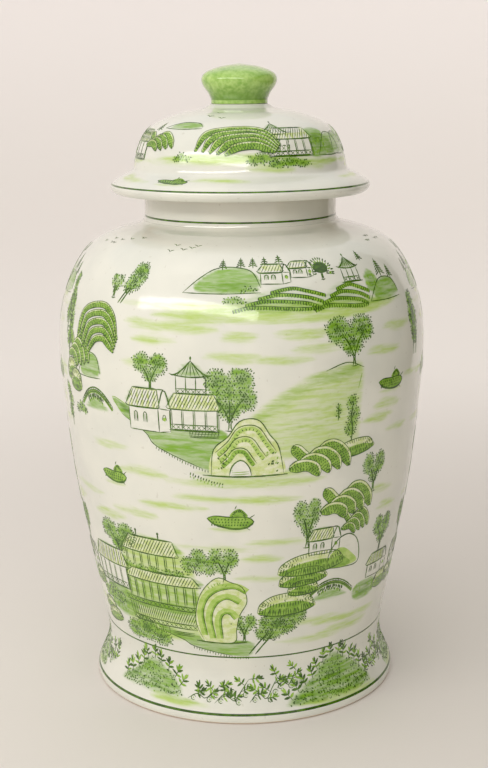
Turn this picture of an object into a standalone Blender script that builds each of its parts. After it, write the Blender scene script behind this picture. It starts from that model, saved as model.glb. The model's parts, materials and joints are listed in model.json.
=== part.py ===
"""Lidded ginger jar of glazed porcelain: a hollow body, a domed lid that lifts off, and the lid's knob.

Metres, +Z up. The origin is on the jar's axis at the plane that the foot ring stands on.
"""

import math

import bmesh
import bpy
import numpy as np

# Driving dimensions of the jar's body
BELLY_RADIUS = 0.1240
BELLY_HEIGHT = 0.2400
WAIST_RADIUS = 0.0961
WAIST_HEIGHT = 0.0340
FOOT_RADIUS = 0.1047
FOOT_LIP_HEIGHT = 0.0050
FOOT_EDGE_ROUND = 0.0016
FOOT_RING_WIDTH = 0.0120
FOOT_RECESS = 0.0150
FLOOR_THICKNESS = 0.0090
WALL = 0.0056

# The neck, which the lid's collar drops into
NECK_RADIUS = 0.0642
NECK_WALL = 0.0060
NECK_FOOT_HEIGHT = 0.3205
NECK_TOP_HEIGHT = 0.3360
NECK_RIM_ROUND = 0.0014

# The lid
SEAT_GAP = 0.0003
SEAT_HEIGHT = NECK_TOP_HEIGHT + SEAT_GAP
RIM_RADIUS = 0.0867
RIM_HEIGHT = 0.3412
LID_WALL = 0.0052
COLLAR_CLEARANCE = 0.0016
COLLAR_WALL = 0.0050
COLLAR_DEPTH = 0.0160
COLLAR_ROUND = 0.0012
BOSS_RADIUS = 0.0190
BOSS_HEIGHT = 0.3940

# The knob
KNOB_GAP = 0.0003
KNOB_STEM_RADIUS = 0.0188
KNOB_RADIUS = 0.0251
KNOB_WIDEST_HEIGHT = 0.4100
TOTAL_HEIGHT = 0.4200

# How finely the turned pieces are divided
BODY_SEGMENTS = 56
KNOB_SEGMENTS = 40
SHADE_ANGLE = math.radians(40)

GLAZE = {"color": (0.86, 0.84, 0.76), "roughness": 0.12, "metallic": 0.0}
KNOB_GLAZE = {"color": (0.26, 0.47, 0.11), "roughness": 0.14, "metallic": 0.0}


def curve_through(stations, steps):
    """Points on a smooth curve through (radius, height) stations, with that many steps between two stations.

    It is a centripetal Catmull-Rom curve, so it keeps close to the stations where they are unevenly spaced.
    """
    knots = [np.array(s) for s in stations]
    knots = [2 * knots[0] - knots[1]] + knots + [2 * knots[-1] - knots[-2]]
    points = []
    for before, start, end, after in zip(knots, knots[1:], knots[2:], knots[3:]):
        t0 = 0.0
        t1 = t0 + math.sqrt(np.linalg.norm(start - before))
        t2 = t1 + math.sqrt(np.linalg.norm(end - start))
        t3 = t2 + math.sqrt(np.linalg.norm(after - end))
        for step in range(steps):
            t = t1 + (t2 - t1) * step / steps
            a = blend(before, start, t0, t1, t)
            b = blend(start, end, t1, t2, t)
            c = blend(end, after, t2, t3, t)
            points.append(blend(blend(a, b, t0, t2, t), blend(b, c, t1, t3, t), t1, t2, t))
    points.append(knots[-2])
    return [tuple(map(float, p)) for p in points]


def blend(p, q, t_p, t_q, t):
    """The point at t on the line that is at p when t is t_p, and at q when t is t_q."""
    return ((t_q - t) * p + (t - t_p) * q) / (t_q - t_p)


def arc(centre, radius, start_degrees, end_degrees, steps):
    """Points on an arc in the (radius, height) plane, with both ends."""
    points = []
    for step in range(steps + 1):
        angle = math.radians(start_degrees + (end_degrees - start_degrees) * step / steps)
        points.append((centre[0] + radius * math.cos(angle), centre[1] + radius * math.sin(angle)))
    return points


def inset_from(points, distance):
    """The outline moved to its left by a distance: inwards, for an outer side that runs upwards."""
    line = np.array(points)
    along = np.gradient(line, axis=0)
    along /= np.linalg.norm(along, axis=1)[:, None]
    left = np.stack([-along[:, 1], along[:, 0]], axis=1)
    return [tuple(map(float, p)) for p in line + distance * left]


def body_outer_side():
    """The body's outer side from the foot's lip, over waist, belly and shoulder, to the foot of the neck."""
    return curve_through(
        [
            (FOOT_RADIUS, FOOT_LIP_HEIGHT),
            (FOOT_RADIUS - 0.0030, 0.0120),
            (WAIST_RADIUS + 0.0016, 0.0220),
            (WAIST_RADIUS, WAIST_HEIGHT),
            (WAIST_RADIUS + 0.0035, 0.0560),
            (0.1080, 0.1000),
            (0.1163, 0.1500),
            (0.1217, 0.2000),
            (BELLY_RADIUS, BELLY_HEIGHT),
            (0.1192, 0.2710),
            (0.1075, 0.2960),
            (0.0950, 0.3078),
            (0.0775, 0.3142),
            (NECK_RADIUS + 0.0032, 0.3170),
            (NECK_RADIUS, NECK_FOOT_HEIGHT),
        ],
        steps=2,
    )


def body_outline():
    """The body's closed outline, from the middle of its underside round to the middle of its inner floor."""
    ring_outer = FOOT_RADIUS - FOOT_EDGE_ROUND
    ring_inner = ring_outer - FOOT_RING_WIDTH
    recess_corner = 0.0050
    under = [(0.0, FOOT_RECESS)]
    under += arc(
        (ring_inner - recess_corner - 0.0015, FOOT_RECESS - recess_corner), recess_corner, 90, 20, 3
    )
    under += [(ring_inner, 0.0)]
    foot_edge = arc((ring_outer, FOOT_EDGE_ROUND), FOOT_EDGE_ROUND, -90, 0, 3)
    outer = body_outer_side()
    rim_inner = NECK_RADIUS - NECK_WALL
    rim = arc(
        (NECK_RADIUS - NECK_RIM_ROUND, NECK_TOP_HEIGHT - NECK_RIM_ROUND), NECK_RIM_ROUND, 0, 90, 3
    )
    rim += arc(
        (rim_inner + NECK_RIM_ROUND, NECK_TOP_HEIGHT - NECK_RIM_ROUND), NECK_RIM_ROUND, 90, 180, 3
    )
    belly_side = [p for p in outer if p[1] > 0.052 and p[0] > 0.090]
    inner = inset_from(belly_side, WALL)[::-2]
    inner = [(rim_inner, NECK_FOOT_HEIGHT - 0.0040), (rim_inner + 0.0080, 0.3100), *inner]
    floor = FOOT_RECESS + FLOOR_THICKNESS
    floor_curve = curve_through(
        [inner[-1], (0.0895, 0.0420), (0.0800, 0.0285), (0.0600, floor), (0.0, floor)], steps=2
    )
    return under + foot_edge + outer + rim + inner[:-1] + floor_curve


def lid_outline():
    """The lid's closed outline, from the top of its boss out over the dome and rim and back inside."""
    dome = curve_through(
        [
            (BOSS_RADIUS, BOSS_HEIGHT),
            (BOSS_RADIUS + 0.0045, 0.3915),
            (0.0380, 0.3890),
            (0.0505, 0.3848),
            (0.0598, 0.3795),
            (0.0650, 0.3731),
            (0.0682, 0.3653),
            (0.0702, 0.3574),
            (0.0716, 0.3522),
            (0.0750, 0.3499),
            (0.0804, 0.3472),
            (0.0843, 0.3446),
            (RIM_RADIUS, RIM_HEIGHT),
            (RIM_RADIUS - 0.0012, 0.3384),
            (RIM_RADIUS - 0.0033, 0.3366),
        ],
        steps=2,
    )
    collar_outer = NECK_RADIUS - NECK_WALL - COLLAR_CLEARANCE
    collar_inner = collar_outer - COLLAR_WALL
    collar_foot = SEAT_HEIGHT - COLLAR_DEPTH
    seat = [(NECK_RADIUS + 0.0050, SEAT_HEIGHT), (collar_outer + 0.0006, SEAT_HEIGHT)]
    collar = [(collar_outer, SEAT_HEIGHT - 0.0010)]
    collar += arc(
        (collar_outer - COLLAR_ROUND, collar_foot + COLLAR_ROUND), COLLAR_ROUND, 0, -90, 2
    )
    collar += arc(
        (collar_inner + COLLAR_ROUND, collar_foot + COLLAR_ROUND), COLLAR_ROUND, -90, -180, 2
    )
    hollow = curve_through(
        [
            (collar_inner, SEAT_HEIGHT + 0.0030),
            (0.0620, 0.3480),
            (0.0650 - LID_WALL * 0.2, 0.3560),
            (0.0632, 0.3640),
            (0.0600, 0.3705),
            (0.0545, 0.3757),
            (0.0450, 0.3805),
            (0.0250, 0.3852),
            (0.0, 0.3865),
        ],
        steps=1,
    )
    return [(0.0, BOSS_HEIGHT)] + dome + [(RIM_RADIUS - 0.0072, 0.3374)] + seat + collar + hollow


def knob_outline():
    """The knob's closed outline, from the middle of its top down its side to the middle of its base."""
    side = curve_through(
        [
            (0.0, TOTAL_HEIGHT),
            (0.0100, 0.4188),
            (0.0180, 0.4166),
            (0.0233, 0.4138),
            (KNOB_RADIUS, KNOB_WIDEST_HEIGHT),
            (0.0238, 0.4056),
            (0.0205, 0.4008),
            (KNOB_STEM_RADIUS, 0.3968),
        ],
        steps=2,
    )
    base = BOSS_HEIGHT + KNOB_GAP
    return side + [(KNOB_STEM_RADIUS, base), (0.0, base)]


def glaze_material(name, glaze):
    """A glossy glaze of one colour."""
    material = bpy.data.materials.new(name)
    material.use_nodes = True
    shader = material.node_tree.nodes["Principled BSDF"]
    shader.inputs["Base Color"].default_value = (*glaze["color"], 1.0)
    shader.inputs["Roughness"].default_value = glaze["roughness"]
    shader.inputs["Metallic"].default_value = glaze["metallic"]
    return material


def turned_piece(name, outline, segments, material):
    """A piece turned from an outline that starts and ends on the Z axis."""
    bm = bmesh.new()
    verts = [bm.verts.new((radius, 0.0, height)) for radius, height in outline]
    edges = [bm.edges.new(pair) for pair in zip(verts, verts[1:])]
    bmesh.ops.spin(
        bm,
        geom=verts + edges,
        cent=(0.0, 0.0, 0.0),
        axis=(0.0, 0.0, 1.0),
        dvec=(0.0, 0.0, 0.0),
        angle=math.tau,
        steps=segments,
        use_merge=True,
        use_duplicate=False,
    )
    bmesh.ops.remove_doubles(bm, verts=bm.verts, dist=1e-6)
    bmesh.ops.recalc_face_normals(bm, faces=bm.faces)
    mesh = bpy.data.meshes.new(name)
    bm.to_mesh(mesh)
    bm.free()
    mesh.materials.append(material)
    mesh.shade_smooth()
    mesh.set_sharp_from_angle(angle=SHADE_ANGLE)
    piece = bpy.data.objects.new(name, mesh)
    bpy.context.scene.collection.objects.link(piece)
    return piece


def main():
    for old in list(bpy.data.objects):
        bpy.data.objects.remove(old)
    turned_piece("jar_body", body_outline(), BODY_SEGMENTS, glaze_material("jar_glaze", GLAZE))
    lid_carrier = bpy.data.objects.new("lid", None)
    bpy.context.scene.collection.objects.link(lid_carrier)
    lid = turned_piece("lid_shell", lid_outline(), BODY_SEGMENTS, glaze_material("lid_glaze", GLAZE))
    knob_glaze = glaze_material("knob_glaze", KNOB_GLAZE)
    knob = turned_piece("lid_knob", knob_outline(), KNOB_SEGMENTS, knob_glaze)
    lid.parent = lid_carrier
    knob.parent = lid_carrier


main()
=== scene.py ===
"""Ginger jar of white porcelain, painted all round with a river landscape in green under a clear glaze.

The jar's body, its domed lid and the lid's knob are turned again, finely, from the outlines of the CAD
nodes. The painting is brushwork laid on their skins: each brush stroke is a thin closed piece of colour,
and the soft washes are fields on the glaze. Lengths on the painting are millimetres, all others metres.
"""

from __future__ import annotations

import json
import logging
import math
import random
from collections.abc import Callable, Iterable, Sequence
from dataclasses import dataclass, field
from enum import Enum

import bmesh
import bpy
import numpy as np
from mathutils import Matrix, Vector

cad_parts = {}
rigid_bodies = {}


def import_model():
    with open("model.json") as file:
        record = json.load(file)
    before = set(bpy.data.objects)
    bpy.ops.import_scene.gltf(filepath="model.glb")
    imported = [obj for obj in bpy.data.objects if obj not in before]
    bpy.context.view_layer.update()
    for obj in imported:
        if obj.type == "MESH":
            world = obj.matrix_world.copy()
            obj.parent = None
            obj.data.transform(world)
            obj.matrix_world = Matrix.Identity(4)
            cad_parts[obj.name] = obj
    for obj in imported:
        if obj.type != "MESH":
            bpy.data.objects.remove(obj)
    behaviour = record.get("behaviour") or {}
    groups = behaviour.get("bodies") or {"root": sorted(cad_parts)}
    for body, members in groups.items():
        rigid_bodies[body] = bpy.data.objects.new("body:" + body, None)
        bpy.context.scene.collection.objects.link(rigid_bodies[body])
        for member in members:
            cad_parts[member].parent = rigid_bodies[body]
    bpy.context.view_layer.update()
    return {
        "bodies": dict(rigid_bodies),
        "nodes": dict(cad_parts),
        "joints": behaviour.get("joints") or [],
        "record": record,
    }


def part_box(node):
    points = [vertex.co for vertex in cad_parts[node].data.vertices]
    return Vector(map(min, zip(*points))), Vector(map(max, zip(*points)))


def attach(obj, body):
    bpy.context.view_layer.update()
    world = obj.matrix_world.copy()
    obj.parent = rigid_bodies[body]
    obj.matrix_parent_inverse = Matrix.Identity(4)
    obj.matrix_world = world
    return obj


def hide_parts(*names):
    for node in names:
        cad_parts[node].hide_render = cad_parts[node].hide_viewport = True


LOG = logging.getLogger("ginger_jar")
MM = 0.001
SLOPE_STEP = 0.0008  # metres along the skin
MERGE = 5e-6  # metres: points this close are one
FIRST_LEVEL = 0.05  # mm above the glaze of the first strokes
COVER_STEP = 0.085  # mm from strokes to those that cover them
NEIGHBOUR_STEP = 0.0025  # mm between strokes side by side
WALL_EDGE = (0.03, 0.35, 0.65, 0.97)  # the shares along each side of a wall at which its edge is held
Point = tuple[float, float]
Places = Sequence[Point]
Colour = tuple[float, float, float]


# ---------------------------------------------------------------- shader helpers


def linear(red: int, green: int, blue: int) -> Colour:
    """A display colour of 0 to 255 as scene-linear numbers.

    Args:
        red: The red share.
        green: The green share.
        blue: The blue share.

    Returns:
        The three linear shares, 0 to 1.
    """

    def one(share: int) -> float:
        """One share made linear."""
        value = share / 255
        return value / 12.92 if value <= 0.04045 else ((value + 0.055) / 1.055) ** 2.4

    return (one(red), one(green), one(blue))


@dataclass(frozen=True)
class Signal:
    """A shader socket that carries one number, with Python's arithmetic on it."""

    graph: Graph
    socket: bpy.types.NodeSocket

    def _with(self, operation: str, other: Signal | float, swap: bool = False) -> Signal:
        """The result of a Math node on this signal and another."""
        first, second = (other, self) if swap else (self, other)
        return self.graph.maths(operation, first, second)

    def __add__(self, other: Signal | float) -> Signal:
        """This plus other."""
        return self._with("ADD", other)

    def __radd__(self, other: float) -> Signal:
        """Other plus this."""
        return self._with("ADD", other)

    def __sub__(self, other: Signal | float) -> Signal:
        """This minus other."""
        return self._with("SUBTRACT", other)

    def __rsub__(self, other: float) -> Signal:
        """Other minus this."""
        return self._with("SUBTRACT", other, swap=True)

    def __mul__(self, other: Signal | float) -> Signal:
        """This times other."""
        return self._with("MULTIPLY", other)

    def __rmul__(self, other: float) -> Signal:
        """Other times this."""
        return self._with("MULTIPLY", other)

    def between(self, low: float, high: float) -> Signal:
        """A soft step of this signal.

        Args:
            low: Where it is still 0.
            high: Where it has reached 1.

        Returns:
            The step.
        """
        node = self.graph.node(
            "ShaderNodeMapRange", {"interpolation_type": "SMOOTHSTEP"},
            {"Value": self, "From Min": low, "From Max": high}
        )
        return Signal(self.graph, node.outputs["Result"])


@dataclass(frozen=True)
class Graph:
    """A material's node tree, with one method that adds any node."""

    tree: bpy.types.NodeTree

    def node(self, kind: str, settings: dict | None = None, sockets: dict | None = None) -> bpy.types.Node:
        """Adds a node.

        Args:
            kind: The node's Blender type.
            settings: Its properties, which are set first.
            sockets: Values, signals or sockets for its inputs, by name or number.

        Returns:
            The node.
        """
        made = self.tree.nodes.new(kind)
        for name, value in (settings or {}).items():
            setattr(made, name, value)
        self.feed(made, sockets or {})
        return made

    def feed(self, node: bpy.types.Node, sockets: dict) -> None:
        """Sets or links a node's inputs.

        Args:
            node: The node.
            sockets: Values, signals or sockets for its inputs, by name or number.
        """
        for name, value in sockets.items():
            target = node.inputs[name]
            if isinstance(value, Signal):
                value = value.socket
            if isinstance(value, bpy.types.NodeSocket):
                self.tree.links.new(value, target)
            else:
                target.default_value = value

    def maths(self, operation: str, first: Signal | float, second: Signal | float) -> Signal:
        """A Math node's result on two numbers or signals."""
        node = self.node("ShaderNodeMath", {"operation": operation}, {0: first, 1: second})
        return Signal(self, node.outputs[0])

    def noise(self, scale: float, detail: float = 2.0, stretch: Colour = (1, 1, 1)) -> Signal:
        """Noise in the piece's own space.

        Args:
            scale: How many cells there are to a metre.
            detail: How many finer layers it has.
            stretch: A factor on the scale along each axis.

        Returns:
            The noise, 0 to 1.
        """
        place = self.node("ShaderNodeTexCoord").outputs["Object"]
        mapping = self.node("ShaderNodeMapping", None, {"Vector": place, "Scale": stretch})
        texture = self.node(
            "ShaderNodeTexNoise", {"noise_dimensions": "3D"},
            {"Vector": mapping.outputs["Vector"], "Scale": scale, "Detail": detail}
        )
        return Signal(self, texture.outputs["Fac"])

    def attribute(self, name: str) -> Signal:
        """A piece's own field of numbers."""
        node = self.node("ShaderNodeAttribute", {"attribute_name": name})
        return Signal(self, node.outputs["Fac"])

    def mix(self, share: Signal, first: object, second: object) -> bpy.types.NodeSocket:
        """Two colours mixed.

        Args:
            share: How much of the second colour there is.
            first: A colour or a colour socket.
            second: A colour or a colour socket.

        Returns:
            The mixed colour's socket.
        """
        first, second = ((*c, 1.0) if isinstance(c, tuple) else c for c in (first, second))
        node = self.node("ShaderNodeMix", {"data_type": "RGBA"}, {0: share, 6: first, 7: second})
        return node.outputs[2]

    def bump(self, height: Signal, depth: float) -> bpy.types.NodeSocket:
        """The normal of a surface with a height pattern of that depth in metres."""
        node = self.node("ShaderNodeBump", None, {"Height": height, "Distance": depth})
        return node.outputs["Normal"]


def new_material(name: str) -> tuple[bpy.types.Material, Graph, bpy.types.Node]:
    """Starts a material made of nodes.

    Args:
        name: Its name.

    Returns:
        The material, its graph and its shader node.
    """
    material = bpy.data.materials.new(name)
    material.use_nodes = True
    graph = Graph(material.node_tree)
    return material, graph, material.node_tree.nodes["Principled BSDF"]


# ---------------------------------------------------------------- finishes


@dataclass(frozen=True)
class PorcelainGlaze:
    """White porcelain under a clear glaze, with soft colour washes and bare biscuit where it is wiped."""

    name: str
    white: Colour = linear(227, 228, 217)
    cool: Colour = linear(219, 221, 211)
    pale_wash: Colour = linear(178, 206, 100)
    green_wash: Colour = linear(120, 168, 34)
    deep_wash: Colour = linear(66, 114, 14)
    biscuit: Colour = linear(222, 206, 184)
    biscuit_grain: Colour = linear(196, 178, 156)
    speck: Colour = linear(150, 140, 110)
    rough: float = 0.09
    peel_depth: float = 0.00012
    index: float = 1.52

    def make(self) -> bpy.types.Material:
        """Builds the material, which reads the fields wash, tint, deep and bare of its piece.

        Returns:
            The material.
        """
        material, graph, shader = new_material(self.name)
        cloudy = graph.noise(28.0, 3.0)
        brushed = graph.noise(48.0, 5.0, (1.0, 1.0, 8.0))
        fine = graph.noise(150.0, 3.0, (1.0, 1.0, 5.0))
        grain = graph.noise(900.0, 2.0)
        ragged = (brushed - 0.5) * 0.9 + (fine - 0.5) * 0.5
        thin = (brushed * 0.65 + fine * 0.35).between(0.3, 0.66) * 0.5 + 0.5
        colour = graph.mix(cloudy.between(0.35, 0.7), self.white, self.cool)
        for field_name, paint, low, cover in (
            ("wash", self.pale_wash, 0.08, 0.95),
            ("tint", self.green_wash, 0.14, 1.0),
            ("deep", self.deep_wash, 0.26, 0.85),
        ):
            share = (graph.attribute(field_name) * 1.1 + ragged * 0.5).between(low, 1.05) * thin
            colour = graph.mix(share * cover, colour, paint)
        specks = graph.noise(420.0, 0.0).between(0.8, 0.83)
        colour = graph.mix(specks * 0.16, colour, self.speck)
        bare = graph.attribute("bare").between(0.3, 0.7)
        colour = graph.mix(bare, colour, graph.mix(grain, self.biscuit, self.biscuit_grain))
        roughness = self.rough + graph.noise(90.0, 2.0) * 0.05 + bare * 0.6
        peel = graph.noise(150.0, 2.0) * 0.6 + graph.noise(620.0, 1.0) * 0.12
        graph.feed(shader, {"Base Color": colour, "Roughness": roughness})
        graph.feed(shader, {"Normal": graph.bump(peel, self.peel_depth), "IOR": self.index})
        graph.feed(shader, {"Coat Weight": 0.4, "Coat Roughness": 0.05})
        return material


@dataclass(frozen=True)
class GreenGlaze:
    """A thick green glaze that is thin and bright on the swell and pools darker towards the stem."""

    name: str
    bright: Colour = linear(182, 214, 122)
    middle: Colour = linear(130, 176, 66)
    pooled: Colour = linear(104, 146, 44)
    peel_depth: float = 0.00015

    def make(self) -> bpy.types.Material:
        """Builds the material, which reads the field pool of its piece.

        Returns:
            The material.
        """
        material, graph, shader = new_material(self.name)
        mottle = graph.noise(340.0, 5.0)
        colour = graph.mix(mottle.between(0.18, 0.82), self.bright, self.middle)
        pool = (graph.attribute("pool") + (mottle - 0.5) * 0.5).between(0.1, 0.95)
        colour = graph.mix(pool, colour, self.pooled)
        graph.feed(shader, {"Base Color": colour, "Roughness": 0.06 + mottle * 0.05})
        graph.feed(shader, {"Normal": graph.bump(graph.noise(220.0, 2.0), self.peel_depth)})
        graph.feed(shader, {"Coat Weight": 0.6, "Coat Roughness": 0.02})
        return material


@dataclass(frozen=True)
class BrushColour:
    """One strength of the painter's green, a little uneven as the brush runs dry."""

    name: str
    full: Colour
    thin: Colour

    def make(self) -> bpy.types.Material:
        """Builds the material.

        Returns:
            The material.
        """
        material, graph, shader = new_material(self.name)
        run = graph.noise(170.0, 3.0, (1.0, 1.0, 1.8))
        fleck = graph.noise(1400.0, 1.0)
        share = (run * 0.8 + fleck * 0.2).between(0.36, 0.66)
        graph.feed(shader, {"Base Color": graph.mix(share, self.full, self.thin), "Roughness": 0.13})
        graph.feed(shader, {"Coat Weight": 0.35, "Coat Roughness": 0.03})
        return material


class Tone(Enum):
    """The strengths of green that the painter uses."""

    INK = BrushColour("ink_green", linear(42, 76, 6), linear(78, 120, 18))
    LEAF = BrushColour("leaf_green", linear(112, 158, 34), linear(152, 190, 76))
    PALE = BrushColour("pale_green", linear(158, 194, 84), linear(190, 212, 124))
    LIT = BrushColour("lit_green", linear(196, 212, 134), linear(226, 230, 200))
    WHITE = BrushColour("wall_white", linear(228, 229, 218), linear(220, 222, 210))

    @property
    def lift(self) -> float:
        """How far the stroke's face stands above the glaze, in mm."""
        return {"INK": 0.06, "LEAF": 0.04, "PALE": 0.02, "LIT": 0.0, "WHITE": 0.0}[self.name]


# ---------------------------------------------------------------- shapes


def between(a: np.ndarray, b: np.ndarray, c: np.ndarray, d: np.ndarray, t: np.ndarray) -> np.ndarray:
    """Points on a smooth curve from b to c, at shares t, that comes from a and goes on to d."""
    second, third = 2 * a - 5 * b + 4 * c - d, 3 * b - a - 3 * c + d
    return 0.5 * (2 * b + (c - a) * t + second * t**2 + third * t**3)


def flowing(points: Places, step: float = 1.6, closed: bool = False) -> np.ndarray:
    """Points at even steps on a smooth line through the given ones.

    Args:
        points: The places the line passes.
        step: The longest step along it.
        closed: Whether it comes back to its start, which then isn't repeated.

    Returns:
        An array of two columns.
    """
    known = np.array(points, float)
    if closed:
        known = np.vstack([known[-1], known, known[0], known[1]])
    else:
        known = np.vstack([2 * known[0] - known[1], known, 2 * known[-1] - known[-2]])
    t = np.linspace(0, 1, 6, endpoint=False)[:, None]
    parts = [between(a, b, c, d, t) for a, b, c, d in zip(known, known[1:], known[2:], known[3:])]
    line = np.vstack([*parts, known[-2][None]])
    along = np.concatenate([[0], np.cumsum(np.hypot(*np.diff(line, axis=0).T))])
    count = max(1, math.ceil(along[-1] / step))
    places = np.linspace(0, along[-1], count + 1)
    even = np.column_stack([np.interp(places, along, line[:, k]) for k in (0, 1)])
    return even[:-1] if closed else even


def unit(degrees: float) -> Point:
    """The cosine and the sine of an angle."""
    return math.cos(math.radians(degrees)), math.sin(math.radians(degrees))


@dataclass(frozen=True)
class Outline:
    """The outline of a turned piece in the (radius, height) half-plane, in metres."""

    points: np.ndarray

    @classmethod
    def of_node(cls, node: bpy.types.Object) -> Outline:
        """Reads the outline of a turned CAD node from its mesh in the half-plane y = 0, x > 0.

        Args:
            node: The CAD node's object, which isn't changed.

        Returns:
            Its outline, from its lowest point on the axis to its highest.
        """
        bm = bmesh.new()
        bm.from_mesh(node.data)
        bmesh.ops.remove_doubles(bm, verts=bm.verts, dist=MERGE)
        flat = [v for v in bm.verts if abs(v.co.y) < MERGE and v.co.x > -MERGE]
        kept = set(flat)
        here = min((v for v in flat if v.co.x < MERGE), key=lambda v: v.co.z)
        walked, seen = [here], {here}
        while True:
            ahead = [e.other_vert(here) for e in here.link_edges]
            ahead = [v for v in ahead if v in kept and v not in seen]
            if not ahead:
                break
            here = min(ahead, key=lambda v: (v.co - here.co).length)
            walked.append(here)
            seen.add(here)
        points = np.array([(v.co.x, v.co.z) for v in walked])
        bm.free()
        return cls(points)

    def refined(self, step: float, corner: float = 38.0) -> Outline:
        """The outline with points between its own on the side that shows, on curves that stop at its corners.

        Args:
            step: The longest step on the outer side, in metres.
            corner: The turn in degrees from which a point is a corner.

        Returns:
            The finer outline.
        """
        p = self.points
        heading = np.degrees(np.arctan2(*np.diff(p, axis=0).T[::-1]))
        turn = np.abs((np.diff(heading) + 180) % 360 - 180)
        breaks = [0, *(int(i) + 1 for i in np.where(turn > corner)[0]), len(p) - 1]
        made = []
        for start, end in zip(breaks, breaks[1:]):
            run = p[start : end + 1]
            known = np.vstack([2 * run[0] - run[1], run, 2 * run[-1] - run[-2]])
            for a, b, c, d in zip(known, known[1:], known[2:], known[3:]):
                outside = max(b[0], c[0]) > self.widest((b[1] + c[1]) / 2) - 0.0025
                count = max(1, math.ceil(float(np.linalg.norm(c - b)) / step)) if outside else 1
                made.append(between(a, b, c, d, np.arange(count)[:, None] / count))
        return Outline(np.vstack([*made, p[-1][None]]))

    def widest(self, level: float) -> float:
        """The outline's largest radius at a height.

        Args:
            level: The height.

        Returns:
            The radius, or 0 above and below the outline.
        """
        r, z = self.points.T
        low, high = np.minimum(z[:-1], z[1:]), np.maximum(z[:-1], z[1:])
        meets = np.where((low <= level) & (high >= level) & (high > low))[0]
        share = (level - z[meets]) / (z[meets + 1] - z[meets])
        return float(np.max(r[meets] + share * (r[meets + 1] - r[meets]), initial=0.0))

    def turned(self, name: str, steps: int) -> bpy.types.Object:
        """Turns the outline into a closed piece.

        Args:
            name: The piece's name.
            steps: How many steps there are round the axis.

        Returns:
            The piece.
        """
        sectors = 8
        bm = bmesh.new()
        verts = [bm.verts.new((max(r, 0.0), 0.0, z)) for r, z in self.points]
        edges = [bm.edges.new(pair) for pair in zip(verts, verts[1:])]
        bmesh.ops.spin(
            bm, geom=verts + edges, axis=(0, 0, 1), cent=(0, 0, 0), angle=math.tau / sectors,
            steps=steps // sectors, use_merge=False, use_duplicate=False
        )
        sector = bpy.data.meshes.new("sector")
        bm.to_mesh(sector)
        bm.clear()
        for _ in range(sectors):
            sector.transform(Matrix.Rotation(math.tau / sectors, 4, "Z"))
            bm.from_mesh(sector)
        bpy.data.meshes.remove(sector)
        bmesh.ops.remove_doubles(bm, verts=bm.verts, dist=1e-6)
        bmesh.ops.dissolve_degenerate(bm, dist=1e-7, edges=bm.edges)
        bmesh.ops.recalc_face_normals(bm, faces=bm.faces)
        return piece_of(bm, name)


def spin_round(
    bm: bmesh.types.BMesh, corners: Iterable[Sequence[float]], steps: int, closed: bool = False
) -> None:
    """Turns a line of corners right round the Z axis.

    Args:
        bm: What the turned shape is added to.
        corners: The line's corners.
        steps: How many steps there are round the axis.
        closed: Whether the line comes back to its first corner.
    """
    verts = [bm.verts.new(corner) for corner in corners]
    ends = zip(verts, [*verts[1:], verts[0]]) if closed else zip(verts, verts[1:])
    edges = [bm.edges.new(pair) for pair in ends]
    bmesh.ops.spin(
        bm, geom=verts + edges, axis=(0, 0, 1), cent=(0, 0, 0), angle=math.tau, steps=steps, use_merge=True,
        use_duplicate=False
    )


def places_of(mesh: bpy.types.Mesh) -> np.ndarray:
    """A mesh's points as rows of x, y and z."""
    flat = np.empty(len(mesh.vertices) * 3)
    mesh.vertices.foreach_get("co", flat)
    return flat.reshape(-1, 3)


def pour(bm: bmesh.types.BMesh, into: bmesh.types.BMesh) -> None:
    """Adds a bmesh to another and frees it.

    Args:
        bm: The bmesh that is used up.
        into: The one that it is added to.
    """
    mesh = bpy.data.meshes.new("poured")
    bm.to_mesh(mesh)
    bm.free()
    into.from_mesh(mesh)
    bpy.data.meshes.remove(mesh)


def piece_of(bm: bmesh.types.BMesh, name: str, sharp: float = 40.0) -> bpy.types.Object:
    """Makes a smooth-shaded object of a bmesh, which is freed.

    Args:
        bm: The bmesh.
        name: The object's name.
        sharp: The angle in degrees from which an edge stays sharp.

    Returns:
        The object.
    """
    mesh = bpy.data.meshes.new(name)
    bm.to_mesh(mesh)
    bm.free()
    mesh.shade_smooth()
    mesh.set_sharp_from_angle(angle=math.radians(sharp))
    made = bpy.data.objects.new(name, mesh)
    bpy.context.scene.collection.objects.link(made)
    return made


@dataclass
class Skin:
    """The painted outer side of a turned piece, from its lowest line up."""

    radius: np.ndarray
    height: np.ndarray
    along: np.ndarray = field(init=False)

    def __post_init__(self) -> None:
        """Works out the distance along the skin, in metres."""
        steps = np.hypot(np.diff(self.radius), np.diff(self.height))
        self.along = np.concatenate([[0.0], np.cumsum(steps)])

    def origin(self, height: float) -> Point:
        """The distance along the skin and the radius at a height in mm, in metres."""
        start = float(np.interp(height * MM, self.height, self.along))
        return start, float(np.interp(start, self.along, self.radius))

    def slope(self, values: np.ndarray, s: np.ndarray) -> np.ndarray:
        """How values of the skin change over a short step about the distances s along it."""
        return np.interp(s + SLOPE_STEP, self.along, values) - np.interp(s - SLOPE_STEP, self.along, values)

    def lay(self, flat: np.ndarray, azimuth: float, height: float) -> np.ndarray:
        """Lays points of a flat drawing on the skin.

        Args:
            flat: Rows of (right, up, out) in mm.
            azimuth: Where the drawing's origin is, in degrees from the front towards +X.
            height: The height of its origin, in mm.

        Returns:
            Rows of (x, y, z) in metres.
        """
        start, middle = self.origin(height)
        s = start + flat[:, 1] * MM
        r = np.interp(s, self.along, self.radius)
        z = np.interp(s, self.along, self.height)
        dr, dz = self.slope(self.radius, s), self.slope(self.height, s)
        size = np.hypot(dr, dz) + 1e-12
        out = flat[:, 2] * MM
        r = r + out * dz / size
        z = z - out * dr / size
        turn = math.radians(azimuth) + flat[:, 0] * MM / middle
        return np.column_stack([r * np.sin(turn), -r * np.cos(turn), z])


# ---------------------------------------------------------------- brushwork


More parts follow.
